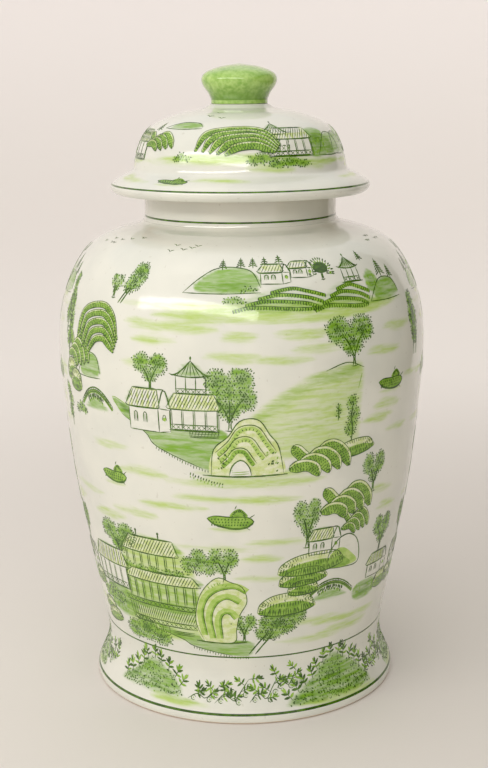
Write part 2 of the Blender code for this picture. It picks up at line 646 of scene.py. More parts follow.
@dataclass(frozen=True)
class SoftShape:
    """A soft-edged area of colour in the glaze, drawn in mm about a place on the skin."""

    azimuth: float
    height: float
    outline: np.ndarray
    channel: str
    strength: float
    feather: float

    def cover(self, skin: Skin, turn: np.ndarray, along: np.ndarray) -> np.ndarray:
        """How strongly it covers points of the skin.

        Args:
            skin: The skin it lies on.
            turn: The points' azimuths in radians.
            along: Their distances along the skin in metres.

        Returns:
            A share for each point, 0 to its strength.
        """
        start, middle = skin.origin(self.height)
        around = (turn - math.radians(self.azimuth) + math.pi) % math.tau - math.pi
        u, v = around * middle / MM, (along - start) / MM
        low, high = self.outline.min(0) - self.feather, self.outline.max(0) + self.feather
        near = np.where((u > low[0]) & (u < high[0]) & (v > low[1]) & (v < high[1]))[0]
        share = np.zeros(len(turn))
        if len(near) == 0:
            return share
        p = np.column_stack([u[near], v[near]])[:, None]
        a, b = self.outline[None], np.roll(self.outline, -1, axis=0)[None]
        d = b - a
        t = np.clip(((p - a) * d).sum(2) / ((d * d).sum(2) + 1e-9), 0, 1)
        gap = np.sqrt((((a + t[..., None] * d) - p) ** 2).sum(2)).min(1)
        crosses = (a[..., 1] > p[..., 1]) != (b[..., 1] > p[..., 1])
        meets = a[..., 0] + (p[..., 1] - a[..., 1]) * d[..., 0] / np.where(d[..., 1] == 0, 1e-9, d[..., 1])
        inside = (crosses & (meets > p[..., 0])).sum(1) % 2 == 1
        edge = np.clip(np.where(inside, gap, -gap) / self.feather * 0.5 + 0.5, 0, 1)
        share[near] = self.strength * edge * edge * (3 - 2 * edge)
        return share


class Scenery:
    """One motif's flat drawing in mm, right and up from its place on the skin, and the motifs it can draw."""

    def __init__(self, row: Placement, seed: int, mirrored: bool = False) -> None:
        """Starts an empty drawing.

        Args:
            row: The motif with its place and its size.
            seed: The seed of the hand's unevenness.
            mirrored: Whether it is drawn the other way round.
        """
        self.motif, self.azimuth, self.height, self.w, self.h = row
        self.hand = random.Random(seed)
        self.side = -1.0 if mirrored else 1.0
        self.flats: dict[Tone, bmesh.types.BMesh] = {}
        self.softs: list[SoftShape] = []
        self.marks = 0
        self.level = FIRST_LEVEL

    def flat(self, tone: Tone) -> bmesh.types.BMesh:
        """The flat mesh of one tone."""
        if tone not in self.flats:
            self.flats[tone] = bmesh.new()
        return self.flats[tone]

    def lift(self, tone: Tone) -> float:
        """A height for the next stroke that differs a little from its neighbours'."""
        self.marks += 1
        return self.level + tone.lift + NEIGHBOUR_STEP * (self.marks % 6)

    def at(self, *shares: Point) -> list[Point]:
        """Places on the motif, each given as shares of its width and of its tallness."""
        return [(self.w * x, self.h * y) for x, y in shares]

    def over(self) -> None:
        """What is drawn from here on covers what is drawn already."""
        self.level += COVER_STEP

    def near(self, value: float, spread: float) -> float:
        """A value moved a little by the hand."""
        return value + self.hand.uniform(-spread, spread)

    def ribbon(self, path: np.ndarray, low: np.ndarray, high: np.ndarray, tone: Tone) -> None:
        """A strip along a path.

        Args:
            path: The path's points.
            low: How far its right edge lies to the left of each point.
            high: How far its left edge lies to the left of each point.
            tone: Its tone.
        """
        count = len(path) - 1
        left = self.sides(path)
        verts = bmesh.ops.create_grid(self.flat(tone), x_segments=count, y_segments=1, size=1.0)["verts"]
        lift = self.lift(tone)
        for index, vert in enumerate(verts):
            i, off = index % (count + 1), low if index <= count else high
            x, y = path[i] + left[i] * off[i]
            vert.co = (x, y, lift)

    @staticmethod
    def sides(path: np.ndarray) -> np.ndarray:
        """The unit step to the left at each point of a path.

        Args:
            path: The path's points.

        Returns:
            A row for each point.
        """
        ahead = np.gradient(path, axis=0)
        left = np.column_stack([-ahead[:, 1], ahead[:, 0]])
        return left / (np.hypot(*left.T)[:, None] + 1e-9)

    def stroke(self, points: Places, width: float = 0.6, tone: Tone = Tone.INK, step: float = 2.2) -> None:
        """One brush line that is full in its middle and thin at its ends.

        Args:
            points: The places it passes.
            width: Its width where it is full.
            tone: Its tone.
            step: The longest step along it.
        """
        path = flowing(points, step)
        if len(path) < 3:
            path = flowing(points, max(0.2, float(np.hypot(*(path[-1] - path[0]))) / 1.9))
        share = np.linspace(0, 1, len(path))
        half = width / 2 * np.clip(np.minimum(share, 1 - share) * 5 + 0.3, 0.3, 1)
        half = half * np.array([self.hand.uniform(0.8, 1.2) for _ in share])
        self.ribbon(path, -half, half, tone)

    def line(self, start: Point, end: Point, width: float) -> None:
        """One straight line of ink."""
        self.stroke([start, end], width, Tone.INK, 4.0)

    def finger(self, points: Places, width: float) -> None:
        """One long rounded fold of rock, pale along its left edge and stippled dark along its back.

        Args:
            points: The places its middle line passes.
            width: How wide it is.
        """
        self.over()
        path = flowing(points, 2.0)
        share = np.linspace(0, 1, len(path))
        half = width / 2 * np.sqrt(np.clip(np.sin(math.pi * share) * 1.7, 0.14, 1))
        left = self.sides(path)
        self.ribbon(path, -half, half, Tone.LIT)
        self.ribbon(path, -half * 0.92, half * 0.6, Tone.LEAF)
        upper, lower = path + left * half[:, None], path - left * half[:, None]
        self.stroke([lower[0], *upper, lower[-1]], 0.42)
        self.stroke(lower, 0.55)
        self.comb(path - left * half[:, None] * 0.95, 1.9, -width * 0.34, 0.75)
        for off in np.arange(-0.2, 0.62, 2.6 / width):
            for x, y in flowing(path + left * half[:, None] * off, 1.9):
                self.dab(self.near(x, 0.3), self.near(y, 0.3), 1.3, 0.72, self.near(90, 40))

    def dab(
        self, x: float, y: float, length: float = 1.8, width: float = 0.9, turn: float = 90.0,
        tone: Tone = Tone.INK
    ) -> None:
        """One touch of the brush: a drop.

        Args:
            x: Its middle.
            y: Its middle.
            length: Its length.
            width: Its width.
            turn: Where it points, in degrees from the right.
            tone: Its tone.
        """
        verts = bmesh.ops.create_circle(self.flat(tone), cap_ends=True, segments=6, radius=1.0)["verts"]
        c, s = unit(turn)
        lift = self.lift(tone)
        for vert in verts:
            a = vert.co.x * length / 2
            b = vert.co.y * width / 2 * (1.0 - 0.4 * vert.co.x)
            vert.co = (x + a * c - b * s, y + a * s + b * c, lift)

    def patch(self, outline: Places, tone: Tone, step: float = 1.8) -> None:
        """A filled area with a smooth edge, cut small enough to lie on the curved skin.

        Args:
            outline: Places on its edge.
            tone: Its tone.
            step: The longest step along its edge.
        """
        edge = flowing(outline, step, closed=True)
        bm = bmesh.new()
        lift = self.lift(tone)
        face = bm.faces.new([bm.verts.new((x, y, lift)) for x, y in edge])
        face.normal_update()
        if face.normal.z < 0:
            face.normal_flip()
        low, high = edge.min(0), edge.max(0)
        for axis in (0, 1):
            normal = (1.0, 0.0, 0.0) if axis == 0 else (0.0, 1.0, 0.0)
            for cut in np.arange(low[axis] + 4.0, high[axis] - 1.0, 4.0):
                geom = bm.verts[:] + bm.edges[:] + bm.faces[:]
                at = (cut, 0.0, 0.0) if axis == 0 else (0.0, cut, 0.0)
                bmesh.ops.bisect_plane(bm, geom=geom, dist=1e-4, plane_co=at, plane_no=normal)
        pour(bm, self.flat(tone))

    def soft(self, outline: Places, channel: str, strength: float, feather: float = 2.2) -> None:
        """A soft wash of one channel: wash, tint or deep."""
        edge = flowing(outline, 4.0, closed=True) * np.array([self.side, 1.0])
        self.softs.append(SoftShape(self.azimuth, self.height, edge, channel, strength, feather))

    def blob(
        self, w: float, h: float, x: float = 0.0, y: float = 0.0, rough: float = 0.12, points: int = 9
    ) -> list[Point]:
        """The corners of an uneven oval.

        Args:
            w: Its width.
            h: Its height.
            x: Its middle.
            y: Its middle.
            rough: How uneven it is, as a share of its size.
            points: How many corners it has.

        Returns:
            The corners.
        """
        made = []
        for i in range(points):
            a = math.tau * i / points
            size = self.near(1.0, rough)
            made.append((x + w / 2 * math.cos(a) * size, y + h / 2 * math.sin(a) * size))
        return made

    def arch(self, w: float, h: float, x: float = 0.0, y: float = 0.0) -> list[Point]:
        """Points on an uneven arch from left to right."""
        shape = ((-0.5, 0.0), (-0.42, 0.5), (-0.22, 0.86), (0.02, 1.0), (0.26, 0.84), (0.43, 0.46), (0.5, 0.0))
        return [(x + w * self.near(a, 0.02), y + h * self.near(b, 0.04)) for a, b in shape]

    def comb(
        self, points: Places, gap: float = 1.7, length: float = 2.4, width: float = 0.75, tone: Tone = Tone.INK,
        turn: float | None = None
    ) -> None:
        """Short touches that hang side by side from a line.

        Args:
            points: The places the line passes.
            gap: From one touch to the next.
            length: Their length, negative for touches that stand on the line.
            width: Their width.
            tone: Their tone.
            turn: Where they point, in degrees from the right, or None for square to the line.
        """
        path = flowing(points, gap)
        ahead = np.gradient(path, axis=0)
        for (x, y), (dx, dy) in zip(path, ahead):
            size = length * self.hand.uniform(0.72, 1.12)
            way = math.degrees(math.atan2(dy, dx)) - 90 if turn is None else turn
            way = self.near(way, 9)
            c, s = unit(way)
            self.dab(
                x + c * size * 0.5, y + s * size * 0.5, abs(size), width, way + (180 if size > 0 else 0), tone
            )

    def hatch(
        self, corners: Places, gap: float, slant: float, width: float = 0.4, tone: Tone = Tone.INK
    ) -> None:
        """Even lines across a convex area.

        Args:
            corners: The area's corners in order.
            gap: From one line to the next.
            slant: The lines' direction in degrees from the right.
            width: The lines' width.
            tone: Their tone.
        """
        c, s = unit(slant)
        p = np.array(corners, float)
        across = p @ np.array([-s, c])
        for level in np.arange(across.min() + gap * 0.6, across.max(), gap):
            ends = []
            for a, b, u, v in zip(p, np.roll(p, -1, 0), across, np.roll(across, -1)):
                if (u - level) * (v - level) < 0:
                    ends.append(tuple(a + (b - a) * (level - u) / (v - u)))
            if len(ends) == 2:
                self.stroke(ends, width, tone, 3.5)

    def box(self, corners: Places, width: float = 0.6, tone: Tone = Tone.INK) -> None:
        """Straight lines round an area's corners."""
        for a, b in zip(corners, [*corners[1:], corners[0]]):
            self.stroke([a, b], width, tone, 3.5)

    # ------------------------------------------------------------ trees and plants

    def foliage(self, lobes: Sequence[tuple[float, float, float, float]], gap: float = 1.72) -> None:
        """A crown of small leaf touches in staggered rows, darker at its heart and pointed outwards at its edge.

        Args:
            lobes: The ovals it is made of, each as its middle's right and up, and its half width and half height.
            gap: From one touch to the next.
        """
        for x, y, rx, ry in lobes:
            self.soft(self.blob(rx * 1.85, ry * 1.85, x, y, 0.1), "tint", 0.95, 1.8)
            self.soft(self.blob(rx * 1.0, ry * 1.1, x, y, 0.06), "deep", 0.72, 2.6)
        low = min(y - ry for x, y, rx, ry in lobes)
        high = max(y + ry for x, y, rx, ry in lobes)
        left = min(x - rx for x, y, rx, ry in lobes)
        right = max(x + rx for x, y, rx, ry in lobes)
        row, y = 0, low
        while y <= high:
            x = left + (row % 2) * gap / 2
            while x <= right:
                at, up = self.near(x, 0.4), self.near(y, 0.4)
                far = [math.hypot((at - a) / rx, (up - b) / ry) for a, b, rx, ry in lobes]
                depth = min(far)
                if depth < 1.0 or (depth < 1.12 and self.hand.random() < 0.5):
                    a, b = lobes[far.index(depth)][:2]
                    out = math.degrees(math.atan2(up - b + 0.4, at - a + 0.01))
                    turn = out if depth > 0.7 else self.near(90, 40)
                    dark = self.hand.random() < (0.9 if depth > 0.75 or depth < 0.35 else 0.45)
                    size = self.near(1.35, 0.3) if depth > 0.7 else self.near(1.6, 0.3)
                    self.dab(
                        at, up, size, self.near(0.86, 0.15), self.near(turn, 35),
                        Tone.INK if dark else Tone.LEAF
                    )
                x += gap
            y += gap * 0.84
            row += 1

    def leafy_tree(self) -> None:
        """A tree with a heart-shaped crown of small leaves on a forked trunk."""
        w, h = self.w, self.h
        base = h * 0.2
        crown = h - base
        lean = self.hand.uniform(-0.06, 0.06) * w
        self.foliage(
            (
                (-w * 0.24 + lean, base + crown * 0.64, w * 0.26, crown * 0.34),
                (w * 0.24 + lean, base + crown * 0.62, w * 0.26, crown * 0.36),
                (lean * 0.5, base + crown * 0.3, w * 0.24, crown * 0.3)
            )
        )
        for bend in (-0.2, 0.2):
            self.stroke(
                [(0, base * 0.9), (w * bend * 0.5, base + crown * 0.3), (w * bend, base + crown * 0.5)], 0.9
            )
        self.trunk(base * 1.15, h * 0.03 + 0.6)

    def flame_tree(self) -> None:
        """A leaning tree whose crown widens upwards like a flame, on a double trunk."""
        w, h = self.w, self.h
        self.foliage(
            (
                (w * 0.16, h * 0.7, w * 0.3, h * 0.27), (w * 0.02, h * 0.52, w * 0.3, h * 0.22),
                (-w * 0.12, h * 0.38, w * 0.22, h * 0.15)
            ), 1.5
        )
        for side in (-0.06, 0.04):
            self.stroke(
                [(w * (side - 0.36), 0), (w * (side - 0.24), h * 0.16), (w * (side - 0.08), h * 0.36)], 0.9
            )

    def trunk(self, h: float, w: float = 1.4) -> None:
        """A forked trunk with a short shadow at its foot."""
        self.stroke([(-w * 0.7, 0), (-w * 0.25, h * 0.5), (-w * 0.5, h)], 0.8)
        self.stroke([(w * 0.7, 0), (w * 0.3, h * 0.5), (w * 0.6, h)], 0.8)
        self.stroke([(-w * 1.6, 0), (0, -0.4), (w * 1.8, 0.1)], 0.6)

    def leaf_plume(self) -> None:
        """A narrow tree of leaf clumps, one above another on a bent stem."""
        w, h = self.w, self.h
        self.foliage(
            (
                (-w * 0.06, h * 0.34, w * 0.34, h * 0.17), (w * 0.1, h * 0.6, w * 0.36, h * 0.18),
                (-w * 0.04, h * 0.83, w * 0.3, h * 0.17)
            )
        )
        self.stroke(self.at((0, 0), (0.06, 0.3), (-0.04, 0.6), (0.02, 0.86)), 0.9)

    def round_tree(self) -> None:
        """A broad crown of many lobes with white gaps between them."""
        w, h = self.w, self.h
        base = h * 0.14
        crown = h - base
        self.foliage(
            (
                (-w * 0.22, base + crown * 0.74, w * 0.24, crown * 0.24),
                (w * 0.2, base + crown * 0.78, w * 0.25, crown * 0.22),
                (w * 0.27, base + crown * 0.42, w * 0.23, crown * 0.23),
                (-w * 0.24, base + crown * 0.36, w * 0.22, crown * 0.22),
                (0, base + crown * 0.22, w * 0.22, crown * 0.22),
                (0, base + crown * 0.56, w * 0.12, crown * 0.3)
            )
        )
        for bend in (-0.22, 0.0, 0.22):
            self.stroke(
                [(0, base * 0.9), (w * bend * 0.4, base + crown * 0.2), (w * bend, base + crown * 0.4)], 0.9
            )
        self.trunk(base * 1.1, h * 0.03 + 0.6)

    def pine(self) -> None:
        """A small pine: a spine with pairs of drooping twigs."""
        w, h = self.w, self.h
        self.stroke([(0, 0), (0.1, h * 0.5), (0, h)], 0.9)
        rows = max(3, int(h / 1.9))
        for i in range(rows):
            y, half = h * (0.22 + 0.72 * i / rows), w / 2 * (1.0 - 0.8 * i / rows)
            for side in (-1, 1):
                self.dab(side * half * 0.55, y, half * 1.15 + 0.5, 0.85, 90 + side * 62)

    def fan_tree(self) -> None:
        """A dark round tree of touches that spread like a fan from its foot."""
        w, h = self.w, self.h
        self.patch(self.blob(w * 0.62, h * 0.55, 0, h * 0.52), Tone.INK)
        for ring, size in ((0.55, 2.6), (0.8, 2.6), (1.0, 2.2)):
            count = int(5 + 13 * ring)
            for i in range(count):
                a = math.radians(-12 + 204 * (i + self.hand.uniform(-0.2, 0.2)) / (count - 1))
                x, y = w / 2 * ring * math.cos(a), h * 0.28 + h * 0.7 * ring * max(math.sin(a), -0.1)
                self.dab(x, y, size, 0.95, math.degrees(a), Tone.INK if ring != 0.8 else Tone.LEAF)
        self.trunk(h * 0.3, 0.9)

    def bush(self) -> None:
        """A thick low growth of rounded leaf clumps."""
        w, h = self.w, self.h
        self.foliage(
            (
                (-w * 0.28, h * 0.36, w * 0.22, h * 0.36), (0.0, h * 0.52, w * 0.26, h * 0.48),
                (w * 0.28, h * 0.34, w * 0.22, h * 0.34)
            )
        )

    def spray(self, x: float, y: float, size: float, turn: float) -> None:
        """A few long leaves that open like a fan from a short stem.

        Args:
            x: The stem's foot.
            y: The stem's foot.
            size: Its length.
            turn: Its direction in degrees.
        """
        c, s = unit(turn)
        self.stroke(
            [(x, y), (x + c * size * 0.4, y + s * size * 0.4), (x + c * size * 0.8, y + s * size * 0.8)], 0.5
        )
        for k, share in ((-75, 0.4), (70, 0.45), (-48, 0.7), (44, 0.75), (-12, 0.95), (16, 0.9)):
            way = math.radians(turn + self.near(k, 8))
            a, b = x + c * size * share * 0.75, y + s * size * share * 0.75
            long = size * self.near(0.46, 0.06)
            self.dab(
                a + math.cos(way) * long / 2, b + math.sin(way) * long / 2, long, size * self.near(0.17, 0.03),
                math.degrees(way), Tone.INK if self.hand.random() < 0.5 else Tone.LEAF
            )

    def thicket(self) -> None:
        """A dense growth of curls and dots over a green wash, with sprays of leaves along its top."""
        w, h = self.w, self.h
        top = [
            (-w * 0.5, 0.4), (-w * 0.34, h * 0.34), (-w * 0.2, h * 0.56), (-w * 0.08, h * 0.9), (w * 0.06, h),
            (w * 0.2, h * 0.8), (w * 0.34, h * 0.62), (w * 0.5, h * 0.1)
        ]
        self.soft([*top, (w * 0.4, -0.3), (-w * 0.4, -0.3)], "tint", 0.85, 3.0)
        for _ in range(int(w * h / 130)):
            x, y = self.hand.uniform(-0.4, 0.4) * w, self.hand.uniform(0.0, 0.55) * h
            self.soft(self.blob(self.near(9, 3), self.near(5, 1), x, y), "deep", 0.7, 2.4)
        crest = flowing(top, 1.0)
        y = 0.6
        while y < h:
            x = -w / 2 + self.hand.uniform(0, 2)
            while x < w / 2:
                up = self.near(y, 1.0)
                if up < np.interp(
                    x, crest[:, 0], crest[:, 1]
                ) - 0.6 and self.hand.random() < 0.9 - 0.25 * y / h:
                    a, r = self.hand.uniform(0, math.tau), self.hand.uniform(0.7, 1.2)
                    if self.hand.random() < 0.3 + 0.3 * y / h:
                        curl = [
                            (x + r * math.cos(a + k), up + r * math.sin(a + k)) for k in (0.0, 1.3, 2.6, 3.7)
                        ]
                        self.stroke(curl, 0.5, Tone.INK, 1.5)
                    else:
                        self.dab(x, up, r * 1.7, 0.9, math.degrees(a), Tone.INK if r > 0.85 else Tone.LEAF)
                x += self.near(2.3, 0.7) + y / h
            y += 1.7
        for x, y in flowing(top, 7.0)[1:-1]:
            self.spray(x, y - 2.0, min(10.0, h * 0.46), self.near(90 - 60 * x / w, 14))

    def vine(self) -> None:
        """A winding stem with leaf sprays and a few round fruits."""
        w, h = self.w, self.h
        stem = self.at((-0.5, 0.1), (-0.24, 0.42), (0, 0.2), (0.2, 0.56), (0.38, 0.9))
        self.stroke(stem, 0.6)
        for i, (x, y) in enumerate(flowing(stem, 5.5)[1:]):
            self.spray(x, y, self.near(8.5, 1.0), self.near(125 if i % 2 else 20, 18))
        for x, y in ((-w * 0.34, h * 0.18), (-w * 0.05, h * 0.5), (w * 0.12, h * 0.16), (w * 0.3, h * 0.4)):
            r = self.near(1.7, 0.25)
            self.soft(self.blob(r * 2.2, r * 2.2, x, y), "tint", 0.6, 1.4)
            self.stroke(
                [(x + r * math.cos(a), y + r * math.sin(a)) for a in np.arange(0.2, 6.5, 0.9)], 0.5, Tone.INK,
                1.5
            )
            self.dab(x, y, 1.0, 0.8, 90, Tone.LEAF)

    def sprig(self) -> None:
        """A plant with paired leaves on a bent stem and a bud at its tip."""
        w, h = self.w, self.h
        bend = self.hand.choice((-1, 1)) * w * 0.3
        self.stroke([(0, 0), (bend * 0.3, h * 0.5), (bend, h * 0.95)], 0.6)
        pairs = max(2, int(h / 3.2))
        for i in range(pairs):
            t = (i + 0.6) / pairs
            x, y = bend * t * t, h * 0.92 * t
            for side in (-1, 1):
                size = w * 0.42 * (1.1 - 0.5 * t)
                self.dab(
                    x + side * size * 0.55, y + size * 0.3, size * 1.1, 1.15, 90 - side * 55,
                    Tone.INK if i % 2 else Tone.LEAF
                )
        self.dab(bend, h, 1.8, 1.2, 90)

    def fringe(self) -> None:
        """A sloping bank edge with a fringe of grass over a soft shadow."""
        w, h = self.w, self.h
        line = self.at((-0.5, 1), (-0.2, 0.62), (0.12, 0.28), (0.5, 0))
        self.soft([*line, (w / 2, -2.0), (-w * 0.2, h * 0.3), (-w / 2, h - 3)], "tint", 0.5, 1.8)
        self.comb(line, 1.8, 2.2, 0.75, Tone.INK, 70.0)
        self.comb([(x, y - 1.6) for x, y in line], 2.4, 1.8, 0.7, Tone.LEAF, 75.0)

    # ------------------------------------------------------------ land and water

    def nested_rock(self) -> None:
        """Long folds of rock that arch over one another from left to right."""
        w, h = self.w, self.h
        thick = min(w * 0.09, h * 0.24)
        for k in range(5):
            t = k / 4
            left, right = -w * (0.46 - 0.34 * t), w * (0.5 - 0.06 * t)
            top = h * (0.9 - 0.56 * t)
            self.finger(
                [
                    (left, top * 0.2), (left + w * 0.13, top * 0.82), (w * 0.1 * (1 + t), top),
                    (right - w * 0.14, top * 0.82), (right, top * 0.4)
                ], thick
            )

    def slab(self, x: float, y: float, w: float, h: float, tilt: float) -> None:
        """One rounded slab of rock with a dark combed crest and a lit face, covering what is behind it.

        Args:
            x: Its middle.
            y: Its foot.
            w: Its length.
            h: Its thickness.
            tilt: How it leans, in degrees.
        """
        self.over()
        c, s = unit(tilt)

        def put(points: Iterable[Point]) -> list[Point]:
            """Points of the level slab, turned and moved to its place."""
            return [(x + a * c - b * s, y + a * s + b * c) for a, b in points]

        crest = [
            (-w * 0.5, h * 0.14), (-w * 0.45, h * 0.56), (-w * 0.24, h * 0.92), (w * 0.08, h),
            (w * 0.36, h * 0.82), (w * 0.5, h * 0.24)
        ]
        foot = [(-w * 0.47, h * 0.06), (-w * 0.2, -h * 0.08), (w * 0.2, -h * 0.06), (w * 0.47, h * 0.12)]
        self.patch(put([*crest, *foot[::-1]]), Tone.LIT)
        self.patch(
            put(
                [
                    (-w * 0.46, h * 0.2), (-w * 0.2, h * 0.52), (w * 0.16, h * 0.56), (w * 0.46, h * 0.26),
                    *foot[::-1]
                ]
            ), Tone.LEAF
        )
        self.stroke(put(crest), 0.55)
        self.stroke(put(foot), 0.9)
        self.comb(put(foot), 1.8, -h * 0.36, 0.8)
        self.comb(put([(a * 0.9, b + h * 0.38) for a, b in foot]), 1.9, -h * 0.26, 0.7)
        self.comb(put(crest), 1.9, h * 0.24, 0.45)

    def rock(self) -> None:
        """One or two slabs, the second in front of the first."""
        w, h = self.w, self.h
        side = self.hand.choice((-1, 1))
        if h > 15.5:
            self.slab(side * w * 0.12, h * 0.38, w * 0.7, h * 0.6, self.near(6 * side, 5))
            self.slab(-side * w * 0.08, 0, w * 0.84, h * 0.58, self.near(-4 * side, 4))
        else:
            self.slab(0, 0, w, h, self.near(2, 4))

    def crag(self) -> None:
        """Flat caps of rock that climb to one side, each in front of the one above."""
        w, h = self.w, self.h
        count = max(2, round(h / 8.0))
        thick = h / count * 1.35
        for i in range(count):
            t = 1 - i / (count - 1)
            shift = w * (0.14 if i % 2 else -0.1) * self.hand.uniform(0.7, 1.2)
            self.slab(
                shift, (h - thick) * t, w * self.hand.uniform(0.66, 0.82), thick,
                self.near(-7 if i % 2 else 7, 3)
            )

    def folded_rock(self) -> None:
        """A fan of long folds of rock that bend over and down to the right, each in front of the one behind."""
        w, h = self.w, self.h
        thick = min(w * 0.19, h * 0.31)
        self.finger(self.at((-0.48, 0.98), (-0.4, 0.84), (-0.24, 0.56)), thick)
        for k in range(4):
            t = k / 3
            x, y = w * (0.0 - 0.42 * t), h * (0.88 - 0.44 * t)
            reach = w * (0.44 - 0.08 * t)
            low = h * (0.3 - 0.14 * t)
            self.finger(
                [
                    (x - w * 0.1, y - h * 0.05), (x + reach * 0.3, y + h * 0.03),
                    (x + reach * 0.72, (y + low) / 2 + h * 0.08), (x + reach * 0.95, low)
                ], thick
            )

    def terraces(self) -> None:
        """A stony slope of long low folds, one above another, that all run down to the right."""
        w, h = self.w, self.h
        self.soft(self.at((-0.5, 0), (-0.3, 0.6), (0, 1), (0.3, 0.9), (0.5, 0)), "tint", 0.45, 2.5)
        rows = max(3, round(h / 3.4))
        pitch = h / rows
        for row in range(rows):
            t = row / (rows - 1)
            y, left = h * (0.88 - 0.8 * t), -w * (0.1 + 0.38 * t)
            line = [
                (left, y - h * 0.12), (left + w * 0.22, y + h * 0.04), (w * (0.28 - 0.06 * t), y - h * 0.1),
                (w * (0.48 - 0.1 * t), max(0.0, y - h * 0.36))
            ]
            path = flowing(line, 2.0)
            self.ribbon(path, np.full(len(path), -pitch * 0.62), np.zeros(len(path)), Tone.LEAF)
            self.stroke(line, 0.45)
            self.comb(line, 1.75, pitch * 0.66, 0.85)
            self.comb(path - self.sides(path) * pitch * 0.7, 1.9, -pitch * 0.28, 0.6, Tone.INK)

    def boulder(self) -> None:
        """A large smooth boulder, pale above and green at its foot."""
        w, h = self.w, self.h
        self.over()
        crest = self.at((-0.5, 0), (-0.46, 0.5), (-0.2, 0.94), (0.14, 1), (0.42, 0.66), (0.5, 0))
        self.patch([*crest, (0, -h * 0.05)], Tone.WHITE)
        self.patch(
            [(-w * 0.46, 0.3), (-w * 0.38, h * 0.5), (-w * 0.1, h * 0.62), (w * 0.2, h * 0.4), (w * 0.44, 0.3)],
            Tone.PALE
        )
        self.patch([(-w * 0.42, 0.3), (-w * 0.34, h * 0.3), (-w * 0.06, h * 0.34), (w * 0.24, 0.3)], Tone.LEAF)
        self.stroke([*crest, (0, -h * 0.05), crest[0]], 0.7)

    def scroll_rock(self) -> None:
        """A tall garden rock of smooth green folds that hook over one another."""
        w, h = self.w, self.h
        self.over()
        edge = self.at(
            (-0.34, 0), (-0.48, 0.28), (-0.42, 0.6), (-0.26, 0.84), (-0.02, 1), (0.2, 0.94), (0.42, 0.86),
            (0.5, 0.64), (0.36, 0.42), (0.3, 0.2), (0.24, 0)
        )
        self.patch(edge, Tone.LIT)
        self.stroke([*edge, edge[0]], 0.5)
        folds = (
            ((0.46, 0.76), (0.28, 0.84), (0.0, 0.8), (-0.22, 0.66), (-0.32, 0.42), (-0.26, 0.1)),
            ((0.34, 0.6), (0.14, 0.68), (-0.06, 0.58), (-0.16, 0.36), (-0.1, 0.06)),
            ((0.26, 0.36), (0.14, 0.46), (0.02, 0.36), (0.04, 0.06))
        )
        for fold in folds:
            path = flowing([(w * a, h * b) for a, b in fold], 2.5)
            half = np.full(len(path), w * 0.075)
            self.level += 0.03
            self.ribbon(path, -half * 1.7, np.zeros(len(path)), Tone.PALE)
            self.ribbon(path, -half * self.near(0.6, 0.15), np.zeros(len(path)), Tone.LEAF)
            self.stroke(path, 0.5)
        self.comb(self.at((-0.2, 0.86), (0, 0.94), (0.2, 0.88)), 2.2, 2.4, 0.6, Tone.LEAF)
        self.stroke([(-w * 0.5, 0), (0, -0.8), (w * 0.5, 0)], 0.8)

    def arch_rock(self) -> None:
        """A pierced rock that bridges the water: uneven folds full of short touches round a pale opening."""
        w, h = self.w, self.h
        self.over()
        outer = self.at(
            (-0.5, 0), (-0.46, 0.46), (-0.26, 0.7), (-0.1, 0.98), (0.14, 1), (0.3, 0.72), (0.42, 0.5), (0.5, 0)
        )
        self.patch([*outer, (0, -0.4)], Tone.LIT)
        self.stroke(outer, 0.65)
        for share, drop in ((0.86, 0.02), (0.68, 0.04), (0.5, 0.06)):
            fold = flowing(
                [(x * share - w * (0.9 - share) * 0.3, y * share - h * drop) for x, y in outer[1:-1]], 2.2
            )
            half = np.full(len(fold), h * 0.055)
            self.level += 0.03
            self.ribbon(fold, -half * 0.9, half * 0.4, Tone.PALE if share > 0.6 else Tone.LEAF)
            self.stroke(fold + self.sides(fold) * h * 0.05, 0.55)
            self.comb(fold, 2.6, 1.8, 0.6)
        inner = self.arch(w * 0.3, h * 0.27, -w * 0.1)
        self.over()
        self.patch([*inner, (-w * 0.1, 0.0)], Tone.WHITE)
        self.stroke(inner, 0.7)
        self.hatch(
            [(-w * 0.22, 0.3), (w * 0.02, 0.3), (w * 0.02, h * 0.09), (-w * 0.22, h * 0.09)], 1.4, 4, 0.5,
            Tone.LEAF
        )
        for _ in range(26):
            side = self.hand.choice((-1, 1))
            x, y = side * self.hand.uniform(0.26, 0.42) * w, self.hand.uniform(0.05, 0.42) * h
            self.dab(
                x, y, 1.7, 0.8, self.near(90 - side * 40, 20),
                Tone.INK if self.hand.random() < 0.6 else Tone.LEAF
            )
        self.stroke([(-w * 0.62, -0.2), (-w * 0.2, -0.9), (w * 0.2, -0.6), (w * 0.55, 0)], 0.9)

